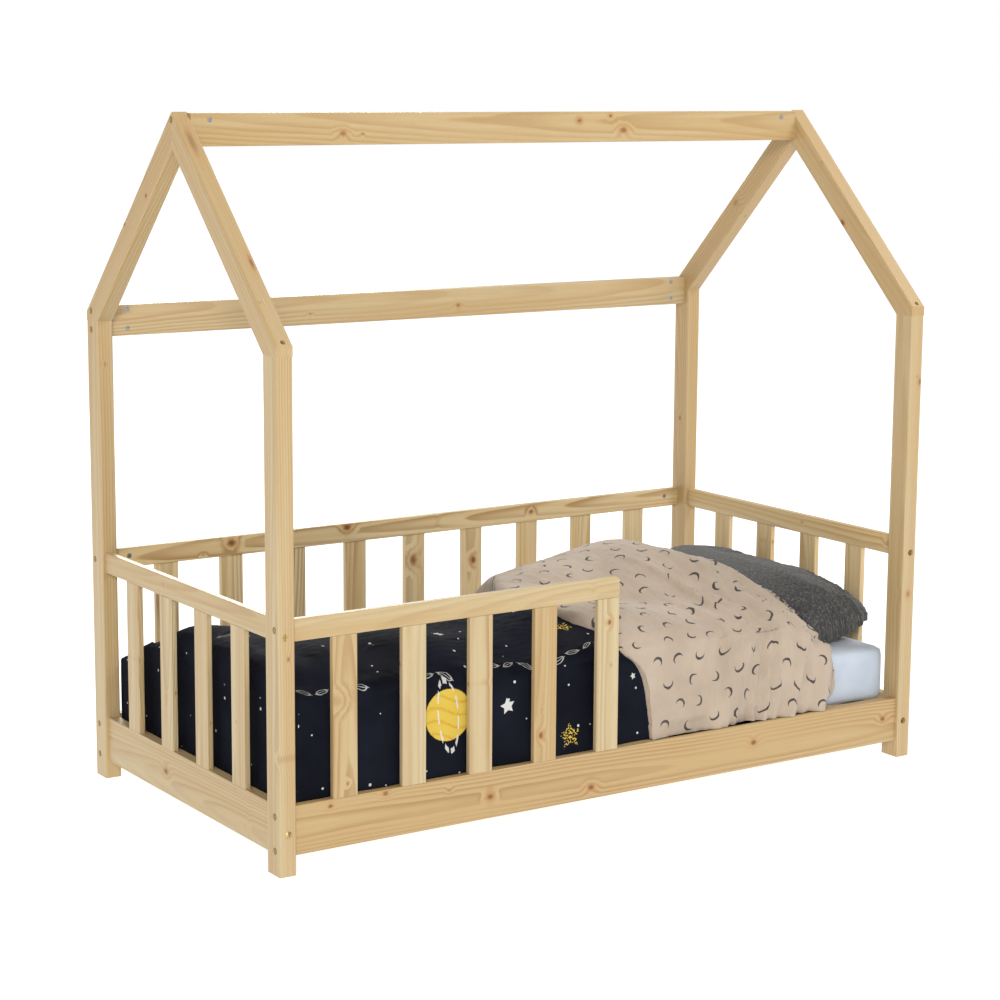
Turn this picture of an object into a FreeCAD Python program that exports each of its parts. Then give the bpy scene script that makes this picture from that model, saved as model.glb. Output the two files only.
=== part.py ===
import FreeCAD, Part
import math
import os

# House-frame toddler bed in pine: four posts, two gables, a ridge beam and an eaves rail,
# a guard of slats all round with an entry gap at the front, a roll-up slatted base, and
# the bedding that lies on it. Millimetres, +Z up, +X to the head end, +Y to the back.
# The origin is on the floor, under the middle of the bed.

# --- Mattress that the frame is made round, and the room beside it ---
MATTRESS_LENGTH = 1400.0
MATTRESS_WIDTH = 700.0
MATTRESS_THICKNESS = 110.0
MATTRESS_CORNER = 45.0
MATTRESS_ARRIS = 14.0
FOOT_ROOM = 13.0
HEAD_ROOM = 1.0
SIDE_ROOM = 6.0

# --- Posts and gables ---
POST_ALONG = 33.0
POST_ACROSS = 47.0
POST_TOP = 914.0
POST_ARRIS = 3.0
RAFTER_DEPTH = 47.0

# --- Rails ---
RAIL_INSET = 7.0
RAIL_ARRIS = 1.5
BOTTOM_RAIL_LIFT = 34.0
BOTTOM_RAIL_HEIGHT = 90.0
BOTTOM_RAIL_THICKNESS = 22.0
GUARD_RAIL_TOP = 458.0
GUARD_RAIL_HEIGHT = 40.0
GUARD_RAIL_THICKNESS = 14.0
FRONT_GUARD_LENGTH = 701.0
FRONT_GUARD_END_RADIUS = 9.0
EAVES_RAIL_BOTTOM = 882.0
EAVES_RAIL_HEIGHT = 60.0
EAVES_RAIL_THICKNESS = 25.0
RIDGE_HEIGHT = 60.0
RIDGE_THICKNESS = 25.0
RIDGE_DROP = 2.0

# --- Guard slats ---
SLAT_WIDTH = 50.0
SLAT_THICKNESS = 12.0
SLAT_ARRIS = 2.0
FRONT_SLATS = 5
FRONT_SLAT_GAP = 93.0
BACK_SLATS = 9
END_SLATS = 4

# --- Slatted base ---
CLEAT_WIDTH = 24.0
CLEAT_HEIGHT = 25.0
CLEAT_DROP = 20.0
CLEAT_SCREWS = 5
CLEAT_SCREW_LENGTH = 40.0
BASE_SLATS = 13
BASE_SLAT_WIDTH = 60.0
BASE_SLAT_THICKNESS = 14.0
BASE_SLAT_END_ROOM = 4.0
BASE_TAPE_WIDTH = 25.0
BASE_TAPE_THICKNESS = 1.0
BASE_TAPE_FROM_MIDDLE = 240.0
BASE_SCREW_LENGTH = 32.0

# --- Bolts along the bed, through the posts into the ends of the long pieces ---
BOLT_DIAMETER = 6.0
BOLT_HEAD_DIAMETER = 10.0
BOLT_HEAD_HEIGHT = 6.0
BOLT_SOCKET = 5.0
BOLT_GRIP = 46.0
COUNTERBORE_DIAMETER = 13.0
COUNTERBORE_DEPTH = 12.0
BOTTOM_BOLT_LOW = 11.0
BOTTOM_BOLT_FROM_TOP = 17.0
GUARD_BOLT_RISE = 3.0
EAVES_BOLT_LOW = 14.0
EAVES_BOLT_HIGH = 51.0
RIDGE_BOLT_DROP = 14.0
BARREL_DIAMETER = 10.0
BARREL_FROM_END = 38.0
BARREL_COVER = 3.0

# --- Screws across the bed, through the posts into the ends of the end rails ---
PANEL_SCREW_DIAMETER = 6.4
PANEL_SCREW_INTO_RAIL = 42.0
PANEL_HEAD_DIAMETER = 13.0
PANEL_HEAD_THICKNESS = 3.0
PANEL_HEAD_DOME = 2.5
PANEL_HEAD_SLOT = 1.6
BOTTOM_SCREW_DROP = 3.0
GUARD_SCREW_DROP = 9.0

# --- Screws square to the slope, through the rafter feet into the post tops ---
RAFTER_SCREW_DIAMETER = 5.0
RAFTER_SCREW_LENGTH = 44.0
RAFTER_SCREW_RECESS = 6.0
RAFTER_SCREW_HEAD = 9.0
RAFTER_SCREW_UP_SLOPE = 7.0

# --- Wood screws and dowels ---
WOOD_SCREW_DIAMETER = 4.0
WOOD_SCREW_HEAD = 8.0
WOOD_SCREW_HEAD_DEPTH = 2.5
DOWEL_DIAMETER = 8.0
DOWEL_INTO_POST = 8.0
DOWEL_INTO_RAIL = 24.0
BOTTOM_DOWEL_DROP = 3.0
RIDGE_DOWEL_DROP = 42.0
APEX_DOWEL_REACH = 20.0
SMALL_DOWEL_DIAMETER = 6.0
SLAT_DOWEL_DEPTH = 16.0
SLAT_DOWEL_SPACING = 26.0
HOLE_CLEARANCE = 0.1
MOUTH_OVERRUN = 1.0
SAME_PLACE = 1e-6

# --- Bedding ---
SOFT_CLEARANCE = 0.4
PILLOW_DEPTH = 400.0
PILLOW_WIDTH = 600.0
PILLOW_ABOVE_SEAM = 95.0
PILLOW_BELOW_SEAM = 40.0
PILLOW_TILT = 12.0
PILLOW_FROM_HEAD_GUARD = 8.0
DUVET_BACK_MARGIN = 5.0
DUVET_SKIRT_LIFT = 2.0
DUVET_EDGE_HEIGHT = 72.0
DUVET_FOOT_HEIGHT = 140.0
DUVET_MIDDLE_HEIGHT = 146.0
DUVET_CREST_HEIGHT = 190.0
DUVET_CROWN_HEIGHT = 196.0
DUVET_END_FROM_HEAD = 158.0
DUVET_FOOT_ROLL = 0.08
DUVET_MIDDLE = 0.5
DUVET_CREST = 0.85
DUVET_HEAD_ROLL = 0.02

# --- Derived places of the frame ---
INNER_X = (MATTRESS_LENGTH + FOOT_ROOM + HEAD_ROOM) / 2
OUTER_X = INNER_X + POST_ALONG
RAIL_INNER_Y = MATTRESS_WIDTH / 2 + SIDE_ROOM
RAIL_OUTER_Y = RAIL_INNER_Y + BOTTOM_RAIL_THICKNESS
OUTER_Y = RAIL_OUTER_Y + RAIL_INSET
INNER_Y = OUTER_Y - POST_ACROSS
RAIL_OUTER_X = OUTER_X - RAIL_INSET
POST_MID_X = INNER_X + POST_ALONG / 2
BOTTOM_RAIL_TOP = BOTTOM_RAIL_LIFT + BOTTOM_RAIL_HEIGHT
BOTTOM_RAIL_MID = BOTTOM_RAIL_LIFT + BOTTOM_RAIL_HEIGHT / 2
GUARD_RAIL_BOTTOM = GUARD_RAIL_TOP - GUARD_RAIL_HEIGHT
GUARD_RAIL_MID = GUARD_RAIL_TOP - GUARD_RAIL_HEIGHT / 2
GUARD_INNER_Y = RAIL_OUTER_Y - max(GUARD_RAIL_THICKNESS, SLAT_THICKNESS)
GUARD_INNER_X = RAIL_OUTER_X - max(GUARD_RAIL_THICKNESS, SLAT_THICKNESS)
FRONT_GUARD_END_X = -INNER_X + FRONT_GUARD_LENGTH
RAFTER_PLUMB_DEPTH = RAFTER_DEPTH * math.sqrt(2)
INNER_APEX_Z = POST_TOP + INNER_Y
OUTER_APEX_Z = INNER_APEX_Z + RAFTER_PLUMB_DEPTH
RIDGE_TOP = OUTER_APEX_Z - RIDGE_DROP
CLEAT_TOP = BOTTOM_RAIL_TOP - CLEAT_DROP
BASE_TOP = CLEAT_TOP + BASE_SLAT_THICKNESS
MATTRESS_FOOT_X = -INNER_X + FOOT_ROOM
MATTRESS_HEAD_X = INNER_X - HEAD_ROOM
MATTRESS_BOTTOM = BASE_TOP + SOFT_CLEARANCE
MATTRESS_TOP = MATTRESS_BOTTOM + MATTRESS_THICKNESS

X_AXIS = FreeCAD.Vector(1, 0, 0)
Y_AXIS = FreeCAD.Vector(0, 1, 0)
Z_AXIS = FreeCAD.Vector(0, 0, 1)

nodes = {}


def block(x_span, y_span, z_span):
    """Box between two limits on each axis, given in either order."""
    (x0, x1), (y0, y1), (z0, z1) = [sorted(span) for span in (x_span, y_span, z_span)]
    return Part.makeBox(x1 - x0, y1 - y0, z1 - z0, FreeCAD.Vector(x0, y0, z0))


def rod(diameter, start, direction, length):
    """Cylinder from a start point along a direction."""
    return Part.makeCylinder(diameter / 2, length, FreeCAD.Vector(*start), FreeCAD.Vector(direction))


def hole(diameter, start, direction, length, overrun=HOLE_CLEARANCE):
    """Cutter for a rod of that diameter, with clearance all round, and a run past its mouth."""
    return rod(diameter + 2 * HOLE_CLEARANCE, FreeCAD.Vector(*start) - direction * overrun, direction,
               overrun + length + HOLE_CLEARANCE)


def ease(shape, axis, radius):
    """Rounds the edges of a straight piece that run along an axis."""
    def runs_along(edge):
        first, last = edge.Vertexes[0].Point, edge.Vertexes[-1].Point
        return len(edge.Vertexes) == 2 and (last - first).normalize().cross(axis).Length < SAME_PLACE
    return shape.makeFillet(radius, [edge for edge in shape.Edges if runs_along(edge)])


def drilled(shape, cutters):
    """Shape with all the holes that reach it."""
    near = [c for c in cutters if c.BoundBox.intersect(shape.BoundBox)]
    return shape.cut(near).removeSplitter() if near else shape


def spread(low, high, count, width):
    """Low edges of equal strips laid between two limits with equal gaps, also beside the limits."""
    gap = (high - low - count * width) / (count + 1)
    return [low + gap + i * (width + gap) for i in range(count)]


# --- Fasteners: each function adds its solids to a group and its holes to the shared cutters ---
groups = {}
cutters = []


def fasten(group, solid, cutter):
    groups.setdefault(group, []).append(solid)
    cutters.append(cutter)


def add_rail_bolt(end, y, z, barrel_side, thickness):
    """Socket bolt along X through a gable into the end of a long piece, with its barrel nut."""
    outside = end * OUTER_X
    inward = X_AXIS * -end
    seat = outside - end * COUNTERBORE_DEPTH
    head = rod(BOLT_HEAD_DIAMETER, (seat, y, z), -inward, BOLT_HEAD_HEIGHT)
    socket = Part.makePolygon([
        FreeCAD.Vector(seat + end * BOLT_HEAD_HEIGHT / 2,
                       y + BOLT_SOCKET / math.sqrt(3) * math.cos(math.radians(60 * i)),
                       z + BOLT_SOCKET / math.sqrt(3) * math.sin(math.radians(60 * i)))
        for i in range(7)])
    socket = Part.Face(socket).extrude(X_AXIS * end * BOLT_HEAD_HEIGHT)
    reach = POST_ALONG - COUNTERBORE_DEPTH + BOLT_GRIP
    shank = rod(BOLT_DIAMETER, (seat, y, z), inward, reach)
    bore = rod(COUNTERBORE_DIAMETER, (outside + end * MOUTH_OVERRUN, y, z), inward,
               COUNTERBORE_DEPTH + MOUTH_OVERRUN)
    fasten("rail_bolts", head.cut(socket).fuse(shank).removeSplitter(),
           bore.fuse(hole(BOLT_DIAMETER, (seat, y, z), inward, reach)))
    if barrel_side:
        length = thickness - BARREL_COVER
        mouth = (end * (INNER_X - BARREL_FROM_END), y + barrel_side * thickness / 2, z)
        into = Y_AXIS * -barrel_side
        barrel = rod(BARREL_DIAMETER, mouth, into, length)
        cross = hole(BOLT_DIAMETER, (end * INNER_X, y, z), inward, BOLT_GRIP)
        fasten("barrel_nuts", barrel.cut(cross),
               hole(BARREL_DIAMETER, mouth, into, length, MOUTH_OVERRUN))


def add_panel_screw(side, x, z, recess):
    """Screw along Y through a post into the end of an end rail. A head with no recess is domed."""
    inward = Y_AXIS * -side
    face = side * OUTER_Y
    seat = face - side * recess
    shank = rod(PANEL_SCREW_DIAMETER, (x, seat, z), inward, POST_ACROSS - recess + PANEL_SCREW_INTO_RAIL)
    cutter = hole(PANEL_SCREW_DIAMETER, (x, seat, z), inward,
                  POST_ACROSS - recess + PANEL_SCREW_INTO_RAIL, MOUTH_OVERRUN)
    if recess:
        head = rod(PANEL_HEAD_DIAMETER, (x, seat, z), -inward, PANEL_HEAD_THICKNESS)
        cutter = cutter.fuse(hole(PANEL_HEAD_DIAMETER, (x, seat, z), -inward, recess + MOUTH_OVERRUN, 0))
    else:
        radius = ((PANEL_HEAD_DIAMETER / 2) ** 2 + PANEL_HEAD_DOME ** 2) / (2 * PANEL_HEAD_DOME)
        ball = Part.makeSphere(radius, FreeCAD.Vector(x, face + side * (PANEL_HEAD_DOME - radius), z))
        head = ball.common(rod(PANEL_HEAD_DIAMETER + MOUTH_OVERRUN, (x, face, z), -inward,
                               PANEL_HEAD_DOME + MOUTH_OVERRUN))
    half_slot = PANEL_HEAD_SLOT / 2
    slot_floor = PANEL_HEAD_THICKNESS / 2 if recess else PANEL_HEAD_DOME / 2
    slot = block((x - half_slot, x + half_slot),
                 (seat + side * slot_floor, seat + side * 2 * PANEL_HEAD_THICKNESS),
                 (z - PANEL_HEAD_DIAMETER, z + PANEL_HEAD_DIAMETER))
    fasten("panel_screws", head.cut(slot).fuse(shank).removeSplitter(), cutter)


def add_rafter_screw(end, side):
    """Countersunk screw square to the slope, through a rafter's foot into the top of its post."""
    down = FreeCAD.Vector(0, -side, -1).normalize()
    eaves = FreeCAD.Vector(end * POST_MID_X, side * OUTER_Y, OUTER_APEX_Z - OUTER_Y)
    mouth = eaves + FreeCAD.Vector(0, -side, 1).normalize() * RAFTER_SCREW_UP_SLOPE
    seat = mouth + down * RAFTER_SCREW_RECESS
    head_depth = (RAFTER_SCREW_HEAD - RAFTER_SCREW_DIAMETER) / 2
    head = Part.makeCone(RAFTER_SCREW_HEAD / 2, RAFTER_SCREW_DIAMETER / 2, head_depth, seat, down)
    shank = rod(RAFTER_SCREW_DIAMETER, seat, down, RAFTER_SCREW_LENGTH)
    bore = rod(RAFTER_SCREW_HEAD + 2 * HOLE_CLEARANCE, mouth - down * RAFTER_SCREW_HEAD, down,
               RAFTER_SCREW_HEAD + RAFTER_SCREW_RECESS + head_depth)
    fasten("rafter_screws", head.fuse(shank).removeSplitter(),
           bore.fuse(hole(RAFTER_SCREW_DIAMETER, seat, down, RAFTER_SCREW_LENGTH)))


def add_dowel(group, diameter, middle, direction, half_back, half_ahead):
    """Dowel through a joint face, reaching back and ahead of it."""
    start = FreeCAD.Vector(*middle) - direction * half_back
    length = half_back + half_ahead
    fasten(group, rod(diameter, start, direction, length), hole(diameter, start, direction, length))


def add_wood_screw(group, mouth, direction, length):
    """Countersunk wood screw, flush with the face it enters."""
    start = FreeCAD.Vector(*mouth)
    head = Part.makeCone(WOOD_SCREW_HEAD / 2, WOOD_SCREW_DIAMETER / 2, WOOD_SCREW_HEAD_DEPTH,
                         start, direction)
    sink = Part.makeCone(WOOD_SCREW_HEAD / 2 + HOLE_CLEARANCE, WOOD_SCREW_DIAMETER / 2 + HOLE_CLEARANCE,
                         WOOD_SCREW_HEAD_DEPTH, start, direction)
    mouth_cutter = rod(WOOD_SCREW_HEAD + 2 * HOLE_CLEARANCE, start, -direction, MOUTH_OVERRUN)
    fasten(group, head.fuse(rod(WOOD_SCREW_DIAMETER, start, direction, length)).removeSplitter(),
           sink.fuse([mouth_cutter, hole(WOOD_SCREW_DIAMETER, start, direction, length)]))


BOTTOM_MID_Y = RAIL_OUTER_Y - BOTTOM_RAIL_THICKNESS / 2
BOTTOM_MID_X = RAIL_OUTER_X - BOTTOM_RAIL_THICKNESS / 2
GUARD_MID_Y = RAIL_OUTER_Y - GUARD_RAIL_THICKNESS / 2
GUARD_MID_X = RAIL_OUTER_X - GUARD_RAIL_THICKNESS / 2
EAVES_MID_Y = RAIL_OUTER_Y - EAVES_RAIL_THICKNESS / 2
FLUSH_HEAD = PANEL_HEAD_THICKNESS
SUNK_HEAD = 3 * PANEL_HEAD_THICKNESS

for end in (-1, 1):
    for side in (-1, 1):
        for rise in (BOTTOM_BOLT_LOW, BOTTOM_RAIL_HEIGHT - BOTTOM_BOLT_FROM_TOP):
            add_rail_bolt(end, side * BOTTOM_MID_Y, BOTTOM_RAIL_LIFT + rise, -side, BOTTOM_RAIL_THICKNESS)
        add_dowel("frame_dowels", DOWEL_DIAMETER,
                  (end * INNER_X, side * BOTTOM_MID_Y, BOTTOM_RAIL_MID - BOTTOM_DOWEL_DROP),
                  X_AXIS * -end, DOWEL_INTO_POST, DOWEL_INTO_RAIL)
        if side > 0 or end < 0:
            add_rail_bolt(end, side * GUARD_MID_Y, GUARD_RAIL_MID + GUARD_BOLT_RISE, -side,
                          GUARD_RAIL_THICKNESS)
        add_panel_screw(side, end * BOTTOM_MID_X, BOTTOM_RAIL_MID - BOTTOM_SCREW_DROP,
                        0 if end < 0 else SUNK_HEAD)
        add_panel_screw(side, end * GUARD_MID_X, GUARD_RAIL_MID - GUARD_SCREW_DROP,
                        FLUSH_HEAD if end < 0 else SUNK_HEAD)
        for rise in (-BOTTOM_RAIL_HEIGHT / 3, BOTTOM_RAIL_HEIGHT / 3):
            add_dowel("frame_dowels", DOWEL_DIAMETER,
                      (end * BOTTOM_MID_X, side * INNER_Y, BOTTOM_RAIL_MID + rise),
                      Y_AXIS * -side, DOWEL_INTO_POST, DOWEL_INTO_RAIL)
        add_rafter_screw(end, side)
    for rise in (EAVES_BOLT_LOW, EAVES_BOLT_HIGH):
        add_rail_bolt(end, EAVES_MID_Y, EAVES_RAIL_BOTTOM + rise, -1, EAVES_RAIL_THICKNESS)
    add_rail_bolt(end, 0, OUTER_APEX_Z - RIDGE_BOLT_DROP, -1, RIDGE_THICKNESS)
    add_dowel("frame_dowels", DOWEL_DIAMETER, (end * INNER_X, 0, OUTER_APEX_Z - RIDGE_DOWEL_DROP),
              X_AXIS * -end, DOWEL_INTO_POST, DOWEL_INTO_RAIL)

# --- Guard slats, dowelled into the rails above and below ---
SLAT_SPAN = (BOTTOM_RAIL_TOP, GUARD_RAIL_BOTTOM)
SLAT_MID_Y = RAIL_OUTER_Y - SLAT_THICKNESS / 2
SLAT_MID_X = RAIL_OUTER_X - SLAT_THICKNESS / 2


def add_slat(name, along_x, low, face):
    """Slat whose outer face lies at `face`, with its low edge at `low` along the rail it stands on."""
    inner = face - math.copysign(SLAT_THICKNESS, face)
    spans = ((low, low + SLAT_WIDTH), (inner, face))
    x_span, y_span = spans if along_x else spans[::-1]
    nodes[name] = ease(block(x_span, y_span, SLAT_SPAN), Z_AXIS, SLAT_ARRIS)
    for shift in (-SLAT_DOWEL_SPACING / 2, SLAT_DOWEL_SPACING / 2):
        along = low + SLAT_WIDTH / 2 + shift
        across = (inner + face) / 2
        place = (along, across) if along_x else (across, along)
        for level in SLAT_SPAN:
            add_dowel("slat_dowels", SMALL_DOWEL_DIAMETER, (*place, level), Z_AXIS,
                      SLAT_DOWEL_DEPTH, SLAT_DOWEL_DEPTH)


for i in range(FRONT_SLATS):
    right = FRONT_GUARD_END_X - (FRONT_SLATS - 1 - i) * (SLAT_WIDTH + FRONT_SLAT_GAP)
    add_slat(f"front_guard_slat_{i + 1}", True, right - SLAT_WIDTH, -RAIL_OUTER_Y)
for i, low in enumerate(spread(-INNER_X, INNER_X, BACK_SLATS, SLAT_WIDTH)):
    add_slat(f"back_guard_slat_{i + 1}", True, low, RAIL_OUTER_Y)
for end_name, end in (("foot", -1), ("head", 1)):
    for i, low in enumerate(spread(-INNER_Y, INNER_Y, END_SLATS, SLAT_WIDTH)):
        add_slat(f"{end_name}_guard_slat_{i + 1}", False, low, end * RAIL_OUTER_X)

# --- Posts and rafters ---
for end_name, end in (("foot", -1), ("head", 1)):
    for side_name, side in (("front", -1), ("back", 1)):
        x_span = (end * INNER_X, end * OUTER_X)
        post = block(x_span, (side * INNER_Y, side * OUTER_Y), (0, POST_TOP))
        nodes[f"{end_name}_{side_name}_post"] = ease(post, Z_AXIS, POST_ARRIS)
        outline = Part.makePolygon([
            FreeCAD.Vector(x_span[0], side * y, z) for y, z in (
                (INNER_Y, POST_TOP), (OUTER_Y, POST_TOP), (OUTER_Y, OUTER_APEX_Z - OUTER_Y),
                (0, OUTER_APEX_Z), (0, INNER_APEX_Z), (INNER_Y, POST_TOP))])
        rafter = Part.Face(outline).extrude(X_AXIS * end * POST_ALONG)
        slope = FreeCAD.Vector(0, -side, 1).normalize()
        nodes[f"{end_name}_{side_name}_rafter"] = ease(rafter, slope, POST_ARRIS)
    for shift in (-POST_ALONG / 4, POST_ALONG / 4):
        add_dowel("frame_dowels", SMALL_DOWEL_DIAMETER,
                  (end * POST_MID_X + shift, 0, INNER_APEX_Z + RAFTER_PLUMB_DEPTH / 4),
                  Y_AXIS, APEX_DOWEL_REACH, APEX_DOWEL_REACH)

# --- Long rails and beams, between the gables ---
LONG_SPAN = (-INNER_X, INNER_X)
BOTTOM_SPAN = (BOTTOM_RAIL_LIFT, BOTTOM_RAIL_TOP)
GUARD_SPAN = (GUARD_RAIL_BOTTOM, GUARD_RAIL_TOP)
for side_name, side in (("front", -1), ("back", 1)):
    nodes[f"{side_name}_bottom_rail"] = ease(
        block(LONG_SPAN, (side * RAIL_INNER_Y, side * RAIL_OUTER_Y), BOTTOM_SPAN), X_AXIS, RAIL_ARRIS)
guard_y_span = (RAIL_OUTER_Y - GUARD_RAIL_THICKNESS, RAIL_OUTER_Y)
nodes["back_guard_rail"] = ease(block(LONG_SPAN, guard_y_span, GUARD_SPAN), X_AXIS, RAIL_ARRIS)
front_guard = block((-INNER_X, FRONT_GUARD_END_X), [-y for y in guard_y_span], GUARD_SPAN)
end_corner = [edge for edge in front_guard.Edges
              if all(abs(v.X - FRONT_GUARD_END_X) < SAME_PLACE and abs(v.Z - GUARD_RAIL_TOP) < SAME_PLACE
                     for v in edge.Vertexes)]
front_guard = front_guard.makeFillet(FRONT_GUARD_END_RADIUS, end_corner)
nodes["front_guard_rail"] = ease(front_guard, X_AXIS, RAIL_ARRIS)
nodes["eaves_rail"] = ease(
    block(LONG_SPAN, (RAIL_OUTER_Y - EAVES_RAIL_THICKNESS, RAIL_OUTER_Y),
          (EAVES_RAIL_BOTTOM, EAVES_RAIL_BOTTOM + EAVES_RAIL_HEIGHT)), X_AXIS, RAIL_ARRIS)
nodes["ridge_beam"] = ease(
    block(LONG_SPAN, (-RIDGE_THICKNESS / 2, RIDGE_THICKNESS / 2), (RIDGE_TOP - RIDGE_HEIGHT, RIDGE_TOP)),
    X_AXIS, RAIL_ARRIS)

# --- End rails, between the posts ---
END_SPAN = (-INNER_Y, INNER_Y)
for end_name, end in (("foot", -1), ("head", 1)):
    face = end * RAIL_OUTER_X
    for level, z_span, thickness in (("bottom", BOTTOM_SPAN, BOTTOM_RAIL_THICKNESS),
                                     ("guard", GUARD_SPAN, GUARD_RAIL_THICKNESS)):
        nodes[f"{end_name}_{level}_rail"] = ease(
            block((face - end * thickness, face), END_SPAN, z_span), Y_AXIS, RAIL_ARRIS)

# --- Slatted base: cleats on the long rails, slats laid on them, tapes that space the slats ---
CLEAT_LENGTH = 2 * (INNER_X - BARREL_FROM_END - BARREL_DIAMETER)
for side_name, side in (("front", -1), ("back", 1)):
    inner = side * (RAIL_INNER_Y - CLEAT_WIDTH)
    nodes[f"{side_name}_base_cleat"] = ease(
        block((-CLEAT_LENGTH / 2, CLEAT_LENGTH / 2), (inner, side * RAIL_INNER_Y),
              (CLEAT_TOP - CLEAT_HEIGHT, CLEAT_TOP)), X_AXIS, RAIL_ARRIS)
    for low in spread(-CLEAT_LENGTH / 2, CLEAT_LENGTH / 2, CLEAT_SCREWS, 0):
        add_wood_screw("cleat_screws", (low, inner, CLEAT_TOP - CLEAT_HEIGHT / 2), Y_AXIS * side,
                       CLEAT_SCREW_LENGTH)
BASE_SLAT_HALF = RAIL_INNER_Y - BASE_SLAT_END_ROOM
base_lows = [-CLEAT_LENGTH / 2 + i * (CLEAT_LENGTH - BASE_SLAT_WIDTH) / (BASE_SLATS - 1)
             for i in range(BASE_SLATS)]
base_slats = [ease(block((low, low + BASE_SLAT_WIDTH), (-BASE_SLAT_HALF, BASE_SLAT_HALF),
                         (CLEAT_TOP, BASE_TOP)), Y_AXIS, SLAT_ARRIS) for low in base_lows]
for low in (base_lows[0], base_lows[-1]):
    for side in (-1, 1):
        add_wood_screw("base_screws", (low + BASE_SLAT_WIDTH / 2,
                                       side * (RAIL_INNER_Y - CLEAT_WIDTH / 2), BASE_TOP),
                       Z_AXIS * -1, BASE_SCREW_LENGTH)
groups["base_tapes"] = [
    block((base_lows[0], base_lows[-1] + BASE_SLAT_WIDTH),
          (y - BASE_TAPE_WIDTH / 2, y + BASE_TAPE_WIDTH / 2), (CLEAT_TOP - BASE_TAPE_THICKNESS, CLEAT_TOP))
    for y in (-BASE_TAPE_FROM_MIDDLE, BASE_TAPE_FROM_MIDDLE)]

# --- Drill the wood, then gather the groups ---
for name, shape in nodes.items():
    nodes[name] = drilled(shape, cutters)
groups["base_slats"] = [drilled(slat, cutters) for slat in base_slats]
for name, solids in groups.items():
    nodes[name] = Part.makeCompound(solids)


# --- Bedding ---
def mattress_block():
    """Mattress with rounded corners and arrises."""
    body = block((MATTRESS_FOOT_X, MATTRESS_HEAD_X), (-MATTRESS_WIDTH / 2, MATTRESS_WIDTH / 2),
                 (MATTRESS_BOTTOM, MATTRESS_TOP))
    body = ease(body, Z_AXIS, MATTRESS_CORNER)
    rims = [edge for edge in body.Edges
            if max(v.Z for v in edge.Vertexes) - min(v.Z for v in edge.Vertexes) < SAME_PLACE]
    return body.makeFillet(MATTRESS_ARRIS, rims)


def lens(half, above, below):
    """Closed outline of two arcs that meet at the seam, half a width either side of the middle."""
    tip, tail = FreeCAD.Vector(half, 0, 0), FreeCAD.Vector(-half, 0, 0)
    top = Part.Arc(tip, FreeCAD.Vector(0, 0, above), tail).toShape()
    bottom = Part.Arc(tail, FreeCAD.Vector(0, 0, -below), tip).toShape()
    return Part.Face(Part.Wire([top, bottom]))


def place_pillow(shape):
    """Tilts a shape made level about the pillow's middle, and sets it down on the mattress."""
    tilt = math.radians(PILLOW_TILT)
    half_depth = PILLOW_DEPTH / 2
    belly_radius = (half_depth ** 2 + PILLOW_BELOW_SEAM ** 2) / (2 * PILLOW_BELOW_SEAM)
    belly_drop = belly_radius - (belly_radius - PILLOW_BELOW_SEAM) * math.cos(tilt)
    middle_x = GUARD_INNER_X - PILLOW_FROM_HEAD_GUARD - half_depth * math.cos(tilt)
    shape.rotate(FreeCAD.Vector(0, 0, 0), Y_AXIS, -PILLOW_TILT)
    shape.translate(FreeCAD.Vector(middle_x, 0, MATTRESS_TOP + SOFT_CLEARANCE + belly_drop))
    return shape


def pillow_block(grow):
    """Pillow crowned both ways, tilted up to the head end and resting on the mattress."""
    half_depth, half_width = PILLOW_DEPTH / 2, PILLOW_WIDTH / 2
    above, below = PILLOW_ABOVE_SEAM + grow, PILLOW_BELOW_SEAM + grow
    along = lens(half_depth + 2 * grow, above, below)
    along.translate(FreeCAD.Vector(0, -half_width - 2 * grow, 0))
    along = along.extrude(Y_AXIS * (PILLOW_WIDTH + 4 * grow))
    across = lens(half_width + 2 * grow, above, below)
    across.rotate(FreeCAD.Vector(0, 0, 0), Z_AXIS, 90)
    across.translate(FreeCAD.Vector(-half_depth - 2 * grow, 0, 0))
    across = across.extrude(X_AXIS * (PILLOW_DEPTH + 4 * grow))
    return place_pillow(along.common(across))


def room_under_pillow(grow):
    """Space straight down from the pillow's seam, kept free so that what lies over it lifts off."""
    half_depth, half_width = PILLOW_DEPTH / 2 + 2 * grow, PILLOW_WIDTH / 2 + 2 * grow
    seam = place_pillow(Part.makePolygon([FreeCAD.Vector(x, -half_width, 0)
                                          for x in (-half_depth, half_depth)]))
    foot, head = [vertex.Point for vertex in seam.Vertexes]
    outline = Part.makePolygon([foot, head, FreeCAD.Vector(head.x, head.y, MATTRESS_BOTTOM),
                                FreeCAD.Vector(foot.x, foot.y, MATTRESS_BOTTOM), foot])
    return Part.Face(outline).extrude(Y_AXIS * 2 * half_width)


def curve(points):
    """Smooth edge through points in one plane."""
    spline = Part.BSplineCurve()
    spline.interpolate([FreeCAD.Vector(*p) for p in points])
    return spline.toShape()


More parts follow.
